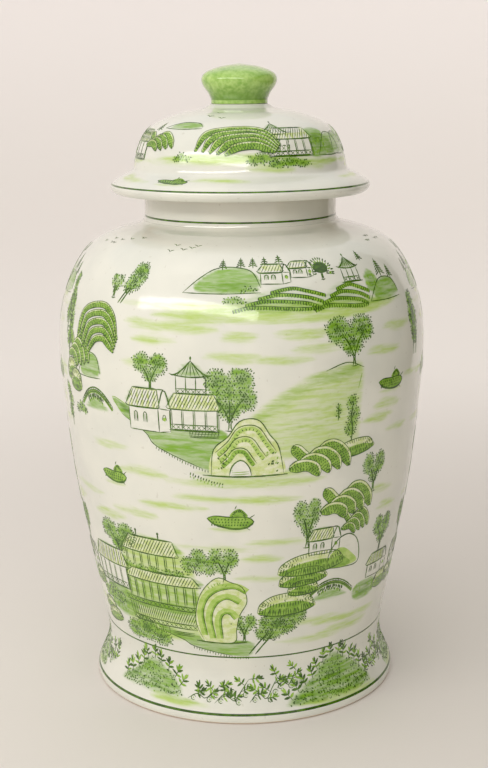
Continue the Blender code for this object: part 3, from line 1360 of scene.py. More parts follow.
    def hill(self) -> None:
        """A far hill: a pale streaky wash, strongest along its crest, under a short drawn line."""
        w, h = self.w, self.h
        crest = self.at((-0.5, 0.1), (-0.42, 0.44), (-0.18, 0.74), (0.12, 0.93), (0.42, 1), (0.49, 0.9))
        self.soft([*crest, (w * 0.47, h * 0.5), (w * 0.44, h * 0.05), (0, h * 0.02)], "wash", 0.72, 3.0)
        self.soft([*crest, (w * 0.4, h * 0.84), (w * 0.08, h * 0.74), (-w * 0.2, h * 0.5)], "tint", 0.4, 4.0)
        self.soft(
            self.at((-0.02, 0.84), (0.2, 0.95), (0.46, 0.98), (0.42, 0.84), (0.1, 0.78)), "tint", 0.5, 3.5
        )
        for _ in range(16):
            x = self.hand.uniform(-0.26, 0.3) * w
            y = h * (0.35 + 0.55 * (x / w + 0.3)) * self.hand.uniform(0.4, 1.0)
            long = self.hand.uniform(8, 20)
            streak = [(x - long, y - long * 0.45), (x, y + 1.1), (x + long * 0.6, y + long * 0.3), (x, y - 0.9)]
            self.soft(streak, "tint", self.hand.uniform(0.28, 0.48), 2.4)
        self.stroke(self.at((0.16, 0.93), (0.34, 0.995), (0.49, 0.92)), 0.55)
        self.stroke(self.at((0.47, 0.86), (0.44, 0.7)), 0.4, Tone.LEAF)

    def ridge(self) -> None:
        """A drawn hill line that rises and falls, with a green wash on its far side."""
        w, h = self.w, self.h
        line = self.at((-0.5, 0), (-0.3, 0.55), (-0.08, 0.95), (0.18, 1), (0.4, 0.8), (0.5, 0.2))
        self.stroke(line, 0.6)
        body = [
            (-w * 0.36, h * 0.1), (-w * 0.2, h * 0.72), (w * 0.1, h * 1.0), (w * 0.4, h * 0.84),
            (w * 0.5, h * 0.2), (w * 0.1, 0.2)
        ]
        self.soft(body, "tint", 1.0, 1.6)
        self.soft([(x * 0.9 + w * 0.05, y * 0.5) for x, y in body], "deep", 0.42, 3.5)
        self.stroke([(-w * 0.5, 0), (0, self.near(-0.6, 0.3)), (w * 0.5, 0.2)], 0.6)

    def lawn(self) -> None:
        """A bright green bank that slopes down to the right in two steps, darker at its upper end and foot."""
        edge = self.at(
            (-0.5, 1), (-0.37, 0.9), (0, 0.74), (0.315, 0.6), (0.34, 0.24), (0.3, -0.02), (0.16, 0),
            (-0.16, 0.3), (-0.24, 0.5), (-0.42, 0.74)
        )
        self.soft(edge, "tint", 1.0, 1.3)
        self.soft(self.at((-0.46, 0.96), (-0.36, 0.86), (-0.28, 0.7), (-0.4, 0.78)), "deep", 0.8, 2.6)
        self.soft(self.at((-0.1, 0.34), (0.1, 0.2), (0.28, 0.12), (0.2, 0.06)), "deep", 0.5, 3.0)
        self.stroke([edge[9], edge[8], edge[7], edge[6]], 0.5)
        self.stroke([edge[9], edge[0], edge[1]], 0.5, Tone.LEAF)
        self.comb([edge[7], edge[6], edge[5]], 1.9, 2.2, 0.5, Tone.INK, 262.0)

    def water(self) -> None:
        """Flat pale reflections on open water."""
        w, h = self.w, self.h
        self.streaks(w, h)

    def streaks(self, w: float, h: float) -> None:
        """Soft ragged streaks, one over another.

        Args:
            w: How wide they spread.
            h: How high they spread.
        """
        for _ in range(max(2, int(h / 2.4))):
            x, y = self.hand.uniform(-0.25, 0.25) * w, self.hand.uniform(0, 1) * h
            half, thin = w * self.hand.uniform(0.34, 0.66), self.hand.uniform(1.8, 3.4)
            edge = [
                (x - half, y), (x - half * 0.3, y + thin), (x + half, y + 0.4), (x + half * 0.3, y - thin * 0.8)
            ]
            self.soft(edge, "wash", self.hand.uniform(0.6, 0.95), 3.0)

    def shore(self) -> None:
        """A broad pale wash that thins out to both ends, greener along its top."""
        w, h = self.w, self.h
        self.soft(
            self.at((-0.5, 0.4), (-0.25, 0.85), (0, 1), (0.3, 0.95), (0.5, 0.6), (0.2, 0), (-0.2, 0.1)), "wash",
            1.0, 2.2
        )
        self.soft(self.at((-0.3, 0.7), (0, 0.98), (0.3, 0.94), (0.46, 0.6), (0, 0.5)), "tint", 0.62, 3.0)
        self.streaks(w * 0.8, h)

    def shade(self) -> None:
        """A full green wash with upright strokes in it."""
        w, h = self.w, self.h
        edge = self.blob(w, h, 0, h / 2, 0.08)
        self.soft(edge, "tint", 1.0, 1.6)
        self.soft(self.blob(w * 0.6, h * 0.6, 0, h / 2), "deep", 0.55, 2.0)
        for _ in range(int(w * h / 22)):
            x, y = self.hand.uniform(-0.4, 0.4) * w, self.hand.uniform(0.15, 0.8) * h
            self.dab(x, y, self.near(2.6, 0.6), 1.0, self.near(95, 14), Tone.LEAF)

    # ------------------------------------------------------------ buildings and boats

    def panel(self, corners: Places, tone: Tone, places: Sequence[float]) -> None:
        """A filled area with straight sides, which covers what is behind it.

        Args:
            corners: Its corners in order.
            tone: Its tone.
            places: The shares along each side at which its edge is held.
        """
        dense = []
        for a, b in zip(corners, [*corners[1:], corners[0]]):
            dense += [(a[0] + (b[0] - a[0]) * t, a[1] + (b[1] - a[1]) * t) for t in places]
        self.patch(dense, tone)

    def roof(self, x: float, y: float, w: float, h: float, skew: float = 0.0) -> None:
        """A tiled roof with turned-up eaves.

        Args:
            x: Its left lower corner.
            y: Its left lower corner.
            w: Its width at the eaves.
            h: Its height.
            skew: How far its ridge is moved to the right.
        """
        corners = [(x, y), (x + w, y), (x + w * 0.9 + skew, y + h), (x + w * 0.12 + skew, y + h)]
        self.hatch(corners, 1.75, 62.0 if skew >= 0 else 118.0, 0.5)
        self.stroke([corners[3], corners[2]], 1.0)
        self.stroke([(x - 1.6, y + 1.3), (x, y), (x + w / 2, y - 0.4), (x + w, y), (x + w + 1.6, y + 1.3)], 0.8)
        self.stroke([(x - 1.0, y + 1.2), corners[3]], 0.6)
        self.stroke([(x + w + 1.0, y + 1.2), corners[2]], 0.6)
        self.soft(corners, "tint", 0.7, 1.2)
        self.panel(corners, Tone.LIT, (0.04, 0.5, 0.96))

    def posts(self, x: float, y: float, w: float, h: float, count: int, width: float = 0.6) -> None:
        """Upright posts side by side.

        Args:
            x: The first one's foot.
            y: The first one's foot.
            w: From the first to the last.
            h: Their height.
            count: How many there are.
            width: How thick they are.
        """
        for i in range(count):
            at = x + w * i / max(1, count - 1)
            self.line((at, y), (at, y + h), width)

    def rail(self, x: float, y: float, w: float, h: float) -> None:
        """A balustrade: two lines with crossed bars between them.

        Args:
            x: Its left lower corner.
            y: Its left lower corner.
            w: Its length.
            h: Its height.
        """
        for level in (0.0, h):
            self.line((x, y + level), (x + w, y + level), 0.6)
        bars = max(2, int(w / 3.2))
        for i in range(bars):
            a, b = x + w * i / bars, x + w * (i + 1) / bars
            self.line((a, y), (b, y + h), 0.4)
            self.line((a, y + h), (b, y), 0.4)

    def house(self) -> None:
        """A gabled cottage: hatched roof, white walls, small windows and a door."""
        w, h = self.w, self.h
        wall = h * 0.52
        self.over()
        front = [
            (-w * 0.46, -0.2), (w * 0.47, -0.2), (w * 0.47, wall), (w * 0.36, h * 0.9), (-w * 0.4, h * 0.9),
            (-w * 0.46, wall)
        ]
        self.panel(front, Tone.WHITE, WALL_EDGE)
        self.roof(-w * 0.5, wall, w * 0.72, h * 0.42, w * 0.06)
        self.stroke([(w * 0.22, wall), (w * 0.36, h * 0.94), (w * 0.5, wall * 0.96)], 0.8)
        self.stroke(self.at((0.2, 0.94), (0.36, 0.94)), 0.8)
        self.box([(-w * 0.46, 0), (w * 0.22, -0.4), (w * 0.22, wall), (-w * 0.46, wall)], 0.6)
        self.box([(w * 0.22, -0.4), (w * 0.47, 0.6), (w * 0.47, wall * 0.96), (w * 0.22, wall)], 0.6)
        for x in (-0.34, -0.12):
            self.stroke(
                [
                    (w * x, wall * 0.35), (w * x + 0.2, wall * 0.75), (w * x + 2.2, wall * 0.75),
                    (w * x + 2.4, wall * 0.35)
                ], 0.6, Tone.INK, 1.6
            )
            self.hatch(
                [
                    (w * x, wall * 0.35), (w * x + 2.4, wall * 0.35), (w * x + 2.3, wall * 0.72),
                    (w * x, wall * 0.72)
                ], 0.9, 90, 0.35
            )
        self.patch(self.blob(2.6, 2.8, w * 0.35, wall * 0.55, 0.03, 8), Tone.LEAF)
        self.stroke([(w * 0.3, wall * 0.5), (w * 0.35, wall * 0.78), (w * 0.4, wall * 0.5)], 0.5)

    def hall(self) -> None:
        """A long open hall: hatched roof over a row of posts and a balustrade."""
        w, h = self.w, self.h
        self.over()
        front = [(-w * 0.46, -0.2), (w * 0.46, -0.2), (w * 0.44, h * 0.94), (-w * 0.42, h * 0.94)]
        self.panel(front, Tone.WHITE, WALL_EDGE)
        self.roof(-w * 0.5, h * 0.55, w, h * 0.4)
        self.posts(-w * 0.46, 0, w * 0.92, h * 0.55, max(4, int(w / 5.5)))
        self.posts(-w * 0.43, 0, w * 0.92, h * 0.55, max(4, int(w / 5.5)), 0.4)
        self.rail(-w * 0.46, 0.6, w * 0.92, h * 0.13)
        self.stroke(self.at((-0.5, 0), (0.5, 0)), 0.8)
        self.soft(self.at((-0.4, 0.3), (0.4, 0.3), (0.4, 0.52), (-0.4, 0.52)), "wash", 0.5, 1.5)

    def pavilion(self) -> None:
        """A small open pavilion: a peaked roof with a finial on thin posts over a rail."""
        w, h = self.w, self.h
        eave, top = h * 0.5, h * 0.88
        left = [(-w * 0.55, eave + 0.9), (-w * 0.42, eave + 0.2), (-w * 0.2, eave + h * 0.16), (0, top)]
        right = [(-x, y) for x, y in left]
        self.soft([(-w * 0.4, eave), (0, top), (w * 0.4, eave)], "tint", 0.6, 1.2)
        for line in (left, right):
            self.stroke(line, 0.9)
        self.stroke([(-w * 0.46, eave), (0, eave - 0.9), (w * 0.46, eave)], 0.8)
        for k in range(-3, 4):
            self.stroke(
                [(k * w * 0.035, top - 1.2 - abs(k) * 0.5), (k * w * 0.12, eave - 0.4)], 0.5, Tone.INK, 3.0
            )
        self.stroke([(0, top), (0, h)], 0.7)
        self.dab(0, h * 0.96, 2.0, 1.3)
        self.posts(-w * 0.38, 0, w * 0.76, eave - 0.6, 4)
        self.rail(-w * 0.4, 0.4, w * 0.8, h * 0.14)
        self.stroke(self.at((-0.5, 0), (0.5, 0)), 0.9)

    def palace(self) -> None:
        """Halls one above another on a terrace, with steps, rails and a dark growth in front."""
        w, h = self.w, self.h
        self.soft(
            self.at((-0.5, 0), (-0.5, 0.5), (-0.4, 0.9), (0.24, 0.9), (0.44, 0.5), (0.44, 0)), "wash", 0.9, 3.0
        )
        self.soft(self.at((-0.44, 0.28), (-0.4, 0.48), (0.4, 0.48), (0.42, 0.28)), "tint", 0.5, 2.0)
        self.roof(-w * 0.42, h * 0.78, w * 0.66, h * 0.15, w * 0.03)
        for x in (-0.2, 0.06):
            self.stroke([(w * x, h * 0.93), (w * x, h)], 0.8)
            self.dab(w * x, h * 0.99, 2.0, 1.5)
        self.posts(-w * 0.38, h * 0.64, w * 0.58, h * 0.14, 7)
        self.posts(-w * 0.36, h * 0.64, w * 0.58, h * 0.14, 7, 0.4)
        for x in (-0.36, -0.2, -0.04, 0.12, 0.24):
            self.soft(self.blob(w * 0.15, h * 0.05, w * x, h * 0.62), "tint", 0.9, 1.6)
            self.foliage(((w * x, h * 0.625, w * 0.08, h * 0.03),), 1.7)
        self.roof(-w * 0.46, h * 0.5, w * 0.9, h * 0.1, w * 0.03)
        self.posts(-w * 0.42, h * 0.3, w * 0.8, h * 0.2, 9, 0.75)
        self.posts(-w * 0.4, h * 0.3, w * 0.8, h * 0.2, 9, 0.4)
        self.soft(self.at((-0.5, 0.22), (0.45, 0.22), (0.45, 0.31), (-0.5, 0.31)), "tint", 0.9, 1.4)
        for i in range(9):
            x = w * (-0.42 + 0.8 * i / 8)
            self.stroke([(x + 1.6, h * 0.32), (x + 1.6, h * 0.48)], 1.0, Tone.LEAF, 4.0)
        self.rail(-w * 0.5, h * 0.25, w * 0.95, h * 0.045)
        for i in range(14):
            x = w * (-0.48 + 0.93 * i / 13)
            self.dab(x, h * 0.272, 1.5, 1.3, 90, Tone.LEAF)
        self.hatch(self.at((-0.46, 0.12), (0.42, 0.12), (0.45, 0.24), (-0.48, 0.24)), 1.5, 65, 0.5)
        self.rail(-w * 0.44, h * 0.07, w * 0.84, h * 0.045)
        self.posts(-w * 0.2, 0, w * 0.26, h * 0.07, 4, 0.5)
        for k in range(3):
            self.line((w * 0.1, h * 0.015 * k), (w * 0.36, h * 0.015 * k + 0.3), 0.5)

    def bridge(self) -> None:
        """A humped bridge of two lines with bars between them, and growth hanging under it."""
        w, h = self.w, self.h
        line = self.at((-0.5, 0), (-0.25, 0.62), (0, 0.85), (0.25, 0.62), (0.5, 0))
        path = flowing(line, 2.4)
        self.ribbon(path, np.full(len(path), -1.0), np.full(len(path), 0.9), Tone.LEAF)
        self.stroke(line, 0.9)
        for rise, width in ((1.2, 0.6), (2.6, 0.9)):
            self.stroke([(x, y + rise) for x, y in line], width)
        for x, y in path:
            self.line((x, y + 1.2), (x, y + 2.6), 0.5)
        for drop, size in ((0.8, 3.0), (3.0, 2.6)):
            under = [(x * (1 - drop * 0.05), y - drop) for x, y in line[1:-1]]
            self.comb(under, 1.6, size, 1.1, Tone.INK if drop < 1 else Tone.LEAF, 268.0)
            self.comb(under, 2.6, size * 0.8, 0.9, Tone.INK, 262.0)
        self.soft([(-w * 0.4, -1), (0, h * 0.5), (w * 0.4, -1), (0, -2)], "tint", 0.7, 1.8)

    def boat(self) -> None:
        """A small boat like a pointed leaf, stippled dark, with a huddled load and its reflection."""
        w, h = self.w, self.h
        self.soft([(-w * 0.5, -1.0), (0, h * 0.1), (w * 0.5, -1.0), (0, -2.6)], "wash", 0.7, 1.6)
        hull = self.at(
            (-0.5, 0.42), (-0.34, 0.54), (0, 0.5), (0.34, 0.5), (0.5, 0.3), (0.36, 0.06), (0.04, 0),
            (-0.32, 0.16)
        )
        self.patch(hull, Tone.LEAF, 1.4)
        self.stroke([*hull, hull[0]], 0.7)
        self.stroke([hull[0], hull[7], hull[6], hull[5], hull[4]], 1.3)
        for row in range(3):
            count = int(w / 2.1) - row
            for i in range(count):
                x = -w * 0.4 + w * 0.8 * (i + 0.5 * (row % 2)) / count
                self.dab(x, h * (0.14 + 0.12 * row) + 0.3, 1.5, 0.9, self.near(75, 15))
        cover = self.at((0, 0.5), (0.06, 0.74), (0.2, 0.86), (0.32, 0.7), (0.36, 0.5))
        self.patch(cover, Tone.LEAF, 1.4)
        self.comb(cover, 1.3, 2.2, 0.8)
        self.stroke(self.at((0.1, 0.84), (0.14, 1)), 0.6)
        self.stroke(self.at((0.36, 0.4), (0.52, 0.6)), 0.5)
        self.stroke(self.at((0.3, 0.1), (0.42, -0.06)), 0.5)

    def bird(self) -> None:
        """A far bird: two short wings."""
        self.stroke(self.at((-0.5, 1), (-0.15, 0.7), (0, 0)), 0.6, Tone.INK, 2.0)
        self.stroke(self.at((0, 0), (0.2, 0.6), (0.5, 0.8)), 0.6, Tone.INK, 2.0)

    def wall(self) -> None:
        """A garden wall of small bricks."""
        self.box(self.at((-0.5, 0), (0.5, 0), (0.5, 1), (-0.5, 1)), 0.5)
        self.hatch(self.at((-0.5, 0), (0.5, 0), (0.5, 1), (-0.5, 1)), 1.4, 0, 0.35)
        self.hatch(self.at((-0.5, 0), (0.5, 0), (0.5, 1), (-0.5, 1)), 1.9, 70, 0.4)


class Motif(Enum):
    """The things that the painter draws, each the name of a Scenery method."""

    LEAFY = "leafy_tree"
    FLAME = "flame_tree"
    PLUME = "leaf_plume"
    ROUND = "round_tree"
    PINE = "pine"
    FAN = "fan_tree"
    BUSH = "bush"
    SPRIG = "sprig"
    THICKET = "thicket"
    VINE = "vine"
    FRINGE = "fringe"
    NESTED = "nested_rock"
    ROCK = "rock"
    CRAG = "crag"
    FOLDS = "folded_rock"
    TERRACES = "terraces"
    BOULDER = "boulder"
    SCROLL = "scroll_rock"
    ARCH = "arch_rock"
    HILL = "hill"
    RIDGE = "ridge"
    LAWN = "lawn"
    WATER = "water"
    SHORE = "shore"
    SHADE = "shade"
    HOUSE = "house"
    HALL = "hall"
    PAVILION = "pavilion"
    PALACE = "palace"
    BRIDGE = "bridge"
    BOAT = "boat"
    BIRD = "bird"
    WALL = "wall"


# A motif, its azimuth in degrees, and its height, width and tallness in mm
Placement = tuple[Motif, float, float, float, float]
M = Motif


def rows_of(motif: Motif, *rows: tuple[float, float, float, float]) -> tuple[Placement, ...]:
    """Placements of one motif that is drawn several times over."""
    return tuple((motif, *row) for row in rows)


RIVER_VIEW: tuple[Placement, ...] = (
    # the sky on the shoulder
    *rows_of(
        M.BIRD, (-62, 308, 5, 2), (-58, 310, 5, 2), (-53, 311, 5, 2), (-47, 312, 5, 2), (-27, 307, 5, 2),
        (-22, 308, 5, 2), (-26, 310, 5, 2), (-19, 309, 5, 2), (-17, 310, 5, 2), (61, 308, 5, 2),
        (66, 310, 5, 2), (71, 308, 5, 2)
    ),
    # the upper island with its village
    (M.SHORE, 14, 267, 176, 12), (M.RIDGE, -6, 285, 48, 17), (M.BUSH, 2, 285, 12, 5),
    *rows_of(
        M.PINE, (-6, 298, 5, 8), (0, 299, 5, 8), (4, 299, 5, 8), (8, 300, 5, 7), (13, 301, 5, 7),
        (45, 299, 5, 8), (52, 288, 9, 13), (57, 286, 6, 10)
    ),
    (M.HOUSE, 11, 290, 20, 14), (M.HOUSE, 20, 293, 16, 12), (M.FAN, 27, 291, 17, 15),
    (M.PAVILION, 38, 288, 17, 20), (M.SHADE, 46, 279, 13, 17), (M.RIDGE, 51, 275, 32, 14),
    (M.TERRACES, 12, 276, 62, 14), (M.TERRACES, 33, 275, 46, 15), (M.BUSH, -2, 279, 16, 5),
    (M.FLAME, -36, 276, 22, 29), (M.LEAFY, -43, 279, 12, 16),
    # rocks and a bridge on the left
    (M.NESTED, -49, 241, 44, 37), (M.FOLDS, -57, 228, 28, 26), (M.RIDGE, -52, 227, 26, 16),
    (M.CRAG, -61, 216, 22, 20), (M.PLUME, -67, 250, 13, 42), (M.BRIDGE, -49, 208, 32, 12),
    (M.PLUME, -67, 188, 12, 30), (M.BUSH, -58, 200, 16, 9),
    # the village on the lawn
    (M.LAWN, -19, 177, 92, 41), (M.LEAFY, -27, 225, 25, 24), (M.PAVILION, -14.5, 224, 25, 24),
    (M.HOUSE, -28, 199, 31, 29), (M.HALL, -14, 201, 32, 25), (M.WALL, -11, 197, 18, 6),
    (M.ROUND, -3.5, 202, 34, 40), (M.ARCH, 1.5, 173, 45, 36), (M.FRINGE, -11, 166, 20, 6),
    (M.WATER, 3, 163, 76, 12),
    # the great hill and its trees
    (M.HILL, 18, 181, 84, 60), (M.LEAFY, 34, 238, 38, 32), (M.BOAT, 50, 218, 26, 14), (M.PLUME, 29, 204, 6, 12),
    (M.PLUME, 34, 186, 14, 34), (M.ROCK, 36, 180, 34, 10), (M.FOLDS, 25, 166, 44, 25),
    (M.LEAFY, 45.5, 151, 21, 28), (M.FOLDS, 36, 134, 42, 26), (M.LEAFY, 21, 121, 18, 35),
    (M.HOUSE, 27.5, 115, 24, 19), (M.FOLDS, 40, 122, 24, 20), (M.BOULDER, 36, 103, 26, 22),
    *rows_of(M.ROCK, (24, 103, 48, 14), (21, 95, 34, 12), (21, 88, 22, 10), (15.5, 75, 39, 15)),
    (M.BRIDGE, 32, 82, 38, 12), (M.FLAME, 12, 46, 42, 44), (M.LEAFY, 55, 104, 21, 28),
    (M.HOUSE, 56, 87, 26, 18), (M.SHADE, 50, 72, 28, 15), (M.PLUME, 66, 235, 14, 42), (M.ROCK, 61, 76, 20, 12),
    # boats and the lower halls
    (M.BOAT, -44, 160, 22, 14), (M.BOAT, -4, 137, 29, 16), (M.PALACE, -31, 57, 60, 74),
    (M.HALL, -55, 82, 36, 30), (M.SHADE, -52, 60, 34, 24), (M.LEAFY, -47, 104, 34, 28),
    (M.BUSH, -40, 46, 40, 20), (M.SCROLL, -8.5, 55, 33, 48), (M.BUSH, -15, 103, 24, 20),
    (M.LEAFY, -6.5, 99, 19, 25), (M.LEAFY, 0, 56, 16, 21), (M.LAWN, -12, 45, 78, 18), (M.BUSH, -58, 68, 30, 14),
    (M.ROCK, -62, 52, 26, 16),
    # pale streaks on the open water
    *rows_of(
        M.WATER, (-27, 254, 26, 3), (0, 258, 24, 3), (18, 258, 34, 3), (52, 256, 26, 3), (-2, 246, 32, 3),
        (12, 243, 32, 3), (46, 243, 26, 3), (52, 207, 30, 4), (55, 190, 26, 3), (-6, 156, 42, 4),
        (-24, 148, 40, 4), (8, 124, 40, 4), (-36, 138, 30, 4), (56, 136, 24, 4), (28, 63, 34, 5),
        (44, 62, 40, 4), (26, 52, 40, 3), (6, 112, 30, 4), (50, 150, 20, 4), (-44, 182, 30, 5), (4, 151, 56, 6),
        (-14, 264, 40, 4), (-30, 240, 26, 5), (46, 200, 30, 5), (-28, 168, 36, 5), (40, 54, 36, 6),
        (8, 100, 30, 4), (-62, 148, 30, 6), (-8, 120, 44, 7), (-30, 262, 34, 6), (24, 250, 40, 5),
        (60, 222, 24, 6), (-50, 132, 30, 5), (14, 60, 26, 5)
    ),
)

FOOT_VIEW: tuple[Placement, ...] = (
    (M.SPRIG, -64, 20, 9, 16), (M.THICKET, -40, 14, 56, 23), (M.SHORE, -27, 9, 40, 5),
    (M.VINE, -15, 13, 24, 12), (M.VINE, -4, 11, 26, 20), (M.VINE, 8, 12, 22, 19), (M.VINE, 17, 20, 16, 13),
    (M.THICKET, 36, 10, 74, 29), (M.VINE, 60, 14, 18, 18), (M.SHORE, 36, 8, 60, 4),
)

LID_VIEW: tuple[Placement, ...] = (
    (M.HALL, -72, 360, 24, 22), (M.FOLDS, -50, 364, 30, 15), (M.RIDGE, -38, 380, 30, 7),
    (M.SHORE, -10, 359, 96, 6), (M.SHADE, 47, 361, 26, 22), (M.NESTED, -2, 363, 58, 22),
    (M.HALL, 29, 363, 34, 21), (M.PAVILION, 20, 366, 24, 25), (M.BUSH, 12, 358, 22, 8),
    (M.BUSH, 27, 356, 32, 8), (M.RIDGE, 58, 363, 26, 15), (M.SHORE, 42, 357, 60, 4), (M.BOAT, -33, 347, 24, 8),
    *rows_of(
        M.WATER, (-7, 348, 34, 3), (16, 355, 26, 3), (42, 354, 24, 3), (62, 348, 24, 3), (-60, 347, 24, 3)
    ),
    (M.BIRD, -25, 387, 5, 2), (M.BIRD, -20, 389, 5, 2), (M.BIRD, -14, 386, 5, 2), (M.BUSH, -32, 360, 14, 6),
    (M.PINE, -58, 378, 6, 9),
)


@dataclass
class PaintedZone:
    """One painted part of the jar: its brushwork pieces and the soft shapes in its glaze."""

    name: str
    body: str
    slot: str
    skin: Skin
    seed: int
    sunk: float = 0.06
    layers: dict[Tone, bmesh.types.BMesh] = field(default_factory=dict)
    softs: list[SoftShape] = field(default_factory=list)

    def draw(self, row: Placement, mirrored: bool = False) -> None:
        """Draws one motif and lays it on the skin.

        Args:
            row: The motif, its place and its size.
            mirrored: Whether it is drawn the other way round.
        """
        self.seed += 1
        scenery = Scenery(row, self.seed, mirrored)
        getattr(scenery, scenery.motif.value)()
        for tone, bm in scenery.flats.items():
            faces_up = len(bm.verts)
            bmesh.ops.solidify(bm, geom=bm.faces[:], thickness=0.1)
            if mirrored:
                bmesh.ops.reverse_faces(bm, faces=bm.faces[:])
            mesh = bpy.data.meshes.new("stroke")
            bm.to_mesh(mesh)
            bm.free()
            flat = places_of(mesh) * np.array([scenery.side, 1.0, 1.0])
            flat[faces_up:, 2] = -self.sunk
            laid = self.skin.lay(flat, scenery.azimuth, scenery.height)
            mesh.vertices.foreach_set("co", laid.ravel())
            self.layers.setdefault(tone, bmesh.new()).from_mesh(mesh)
            bpy.data.meshes.remove(mesh)
        self.softs += scenery.softs

    def draw_round(self, rows: Iterable[Placement], turns: Sequence[tuple[float, float]]) -> None:
        """Draws a view several times round the jar.

        Args:
            rows: The view's motifs.
            turns: For each time, the azimuth of its middle and a factor on its width, negative for mirrored.
        """
        for middle, share in turns:
            for row in rows:
                motif, azimuth, height, width, tall = row
                self.draw((motif, middle + azimuth * share, height, width * abs(share), tall), share < 0)

    def dress(self, glazed: bpy.types.Object) -> None:
        """Writes the soft shapes to the fields of the piece they are in.

        Args:
            glazed: The turned piece under this zone.
        """
        mesh = glazed.data
        x, y, z = places_of(mesh).T
        along = np.interp(z, self.skin.height, self.skin.along)
        off = np.abs(np.hypot(x, y) - np.interp(z, self.skin.height, self.skin.radius))
        on = np.where((off < 0.0012) & (z > self.skin.height[0]) & (z < self.skin.height[-1]))[0]
        turn = np.arctan2(x[on], -y[on])
        for channel in ("wash", "tint", "deep"):
            known = mesh.attributes.get(channel)
            values = np.zeros(len(mesh.vertices), np.float32)
            if known is None:
                mesh.attributes.new(channel, "FLOAT", "POINT")
            else:
                known.data.foreach_get("value", values)
            for shape in self.softs:
                if shape.channel == channel:
                    share = shape.cover(self.skin, turn, along[on])
                    values[on] = np.maximum(values[on], share)
            mesh.attributes[channel].data.foreach_set("value", values)

    def band(self, height: float, width: float, lift: float = 0.11) -> None:
        """A line brushed round the jar while it turns.

        Args:
            height: Its height in mm.
            width: Its width in mm.
            lift: How far it stands above the glaze, in mm.
        """
        half = width / 2
        flat = np.array(
            [(0, -half, -self.sunk), (0, -half * 0.8, lift), (0, half * 0.8, lift), (0, half, -self.sunk)]
        )
        bm = bmesh.new()
        spin_round(bm, self.skin.lay(flat, 90.0, height), 300, closed=True)
        bmesh.ops.recalc_face_normals(bm, faces=bm.faces)
        pour(bm, self.layers.setdefault(Tone.INK, bmesh.new()))

    def pieces(self, materials: dict[Tone, bpy.types.Material]) -> list[bpy.types.Object]:
        """Makes this zone's brushwork pieces, which ride on its body.

        Args:
            materials: The material of each tone.

        Returns:
            The pieces.
        """
        made = []
        for tone, bm in self.layers.items():
            piece = piece_of(bm, f"{self.name}_{tone.name.lower()}")
            piece.data.materials.append(materials[tone])
            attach(piece, self.body)
            LOG.info("%s: %d faces", piece.name, len(piece.data.polygons))
            made.append(piece)
        return made


# ---------------------------------------------------------------- the jar's pieces


@dataclass
class TurnedPart:
    """A glazed piece turned from its CAD node's outline, which it stands for."""

    node: str
    name: str
    body: str
    slot: str
    steps: int
    fine: float
    piece: bpy.types.Object | None = None
    outline: Outline | None = None

    def build(self, frame: dict) -> bpy.types.Object:
        """Turns the piece.


        Returns:
            The piece.
        """
        plain = Outline.of_node(frame["nodes"][self.node])
        self.outline = plain.refined(self.fine)
        self.piece = self.outline.turned(self.name, self.steps)
        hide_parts(self.node)
        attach(self.piece, self.body)
        LOG.info("%s: %d faces", self.name, len(self.piece.data.polygons))
        return self.piece

    def field(self, name: str, rule: Callable[[np.ndarray, np.ndarray], np.ndarray]) -> None:
        """Writes a field of the piece from its points' radii and heights.

        Args:
            name: The field's name.
            rule: Gives the field's numbers from arrays of radius and height.
        """
        mesh = self.piece.data
        x, y, z = places_of(mesh).T
        numbers = rule(np.hypot(x, y), z).astype(np.float32)
        mesh.attributes.new(name, "FLOAT", "POINT").data.foreach_set("value", numbers)


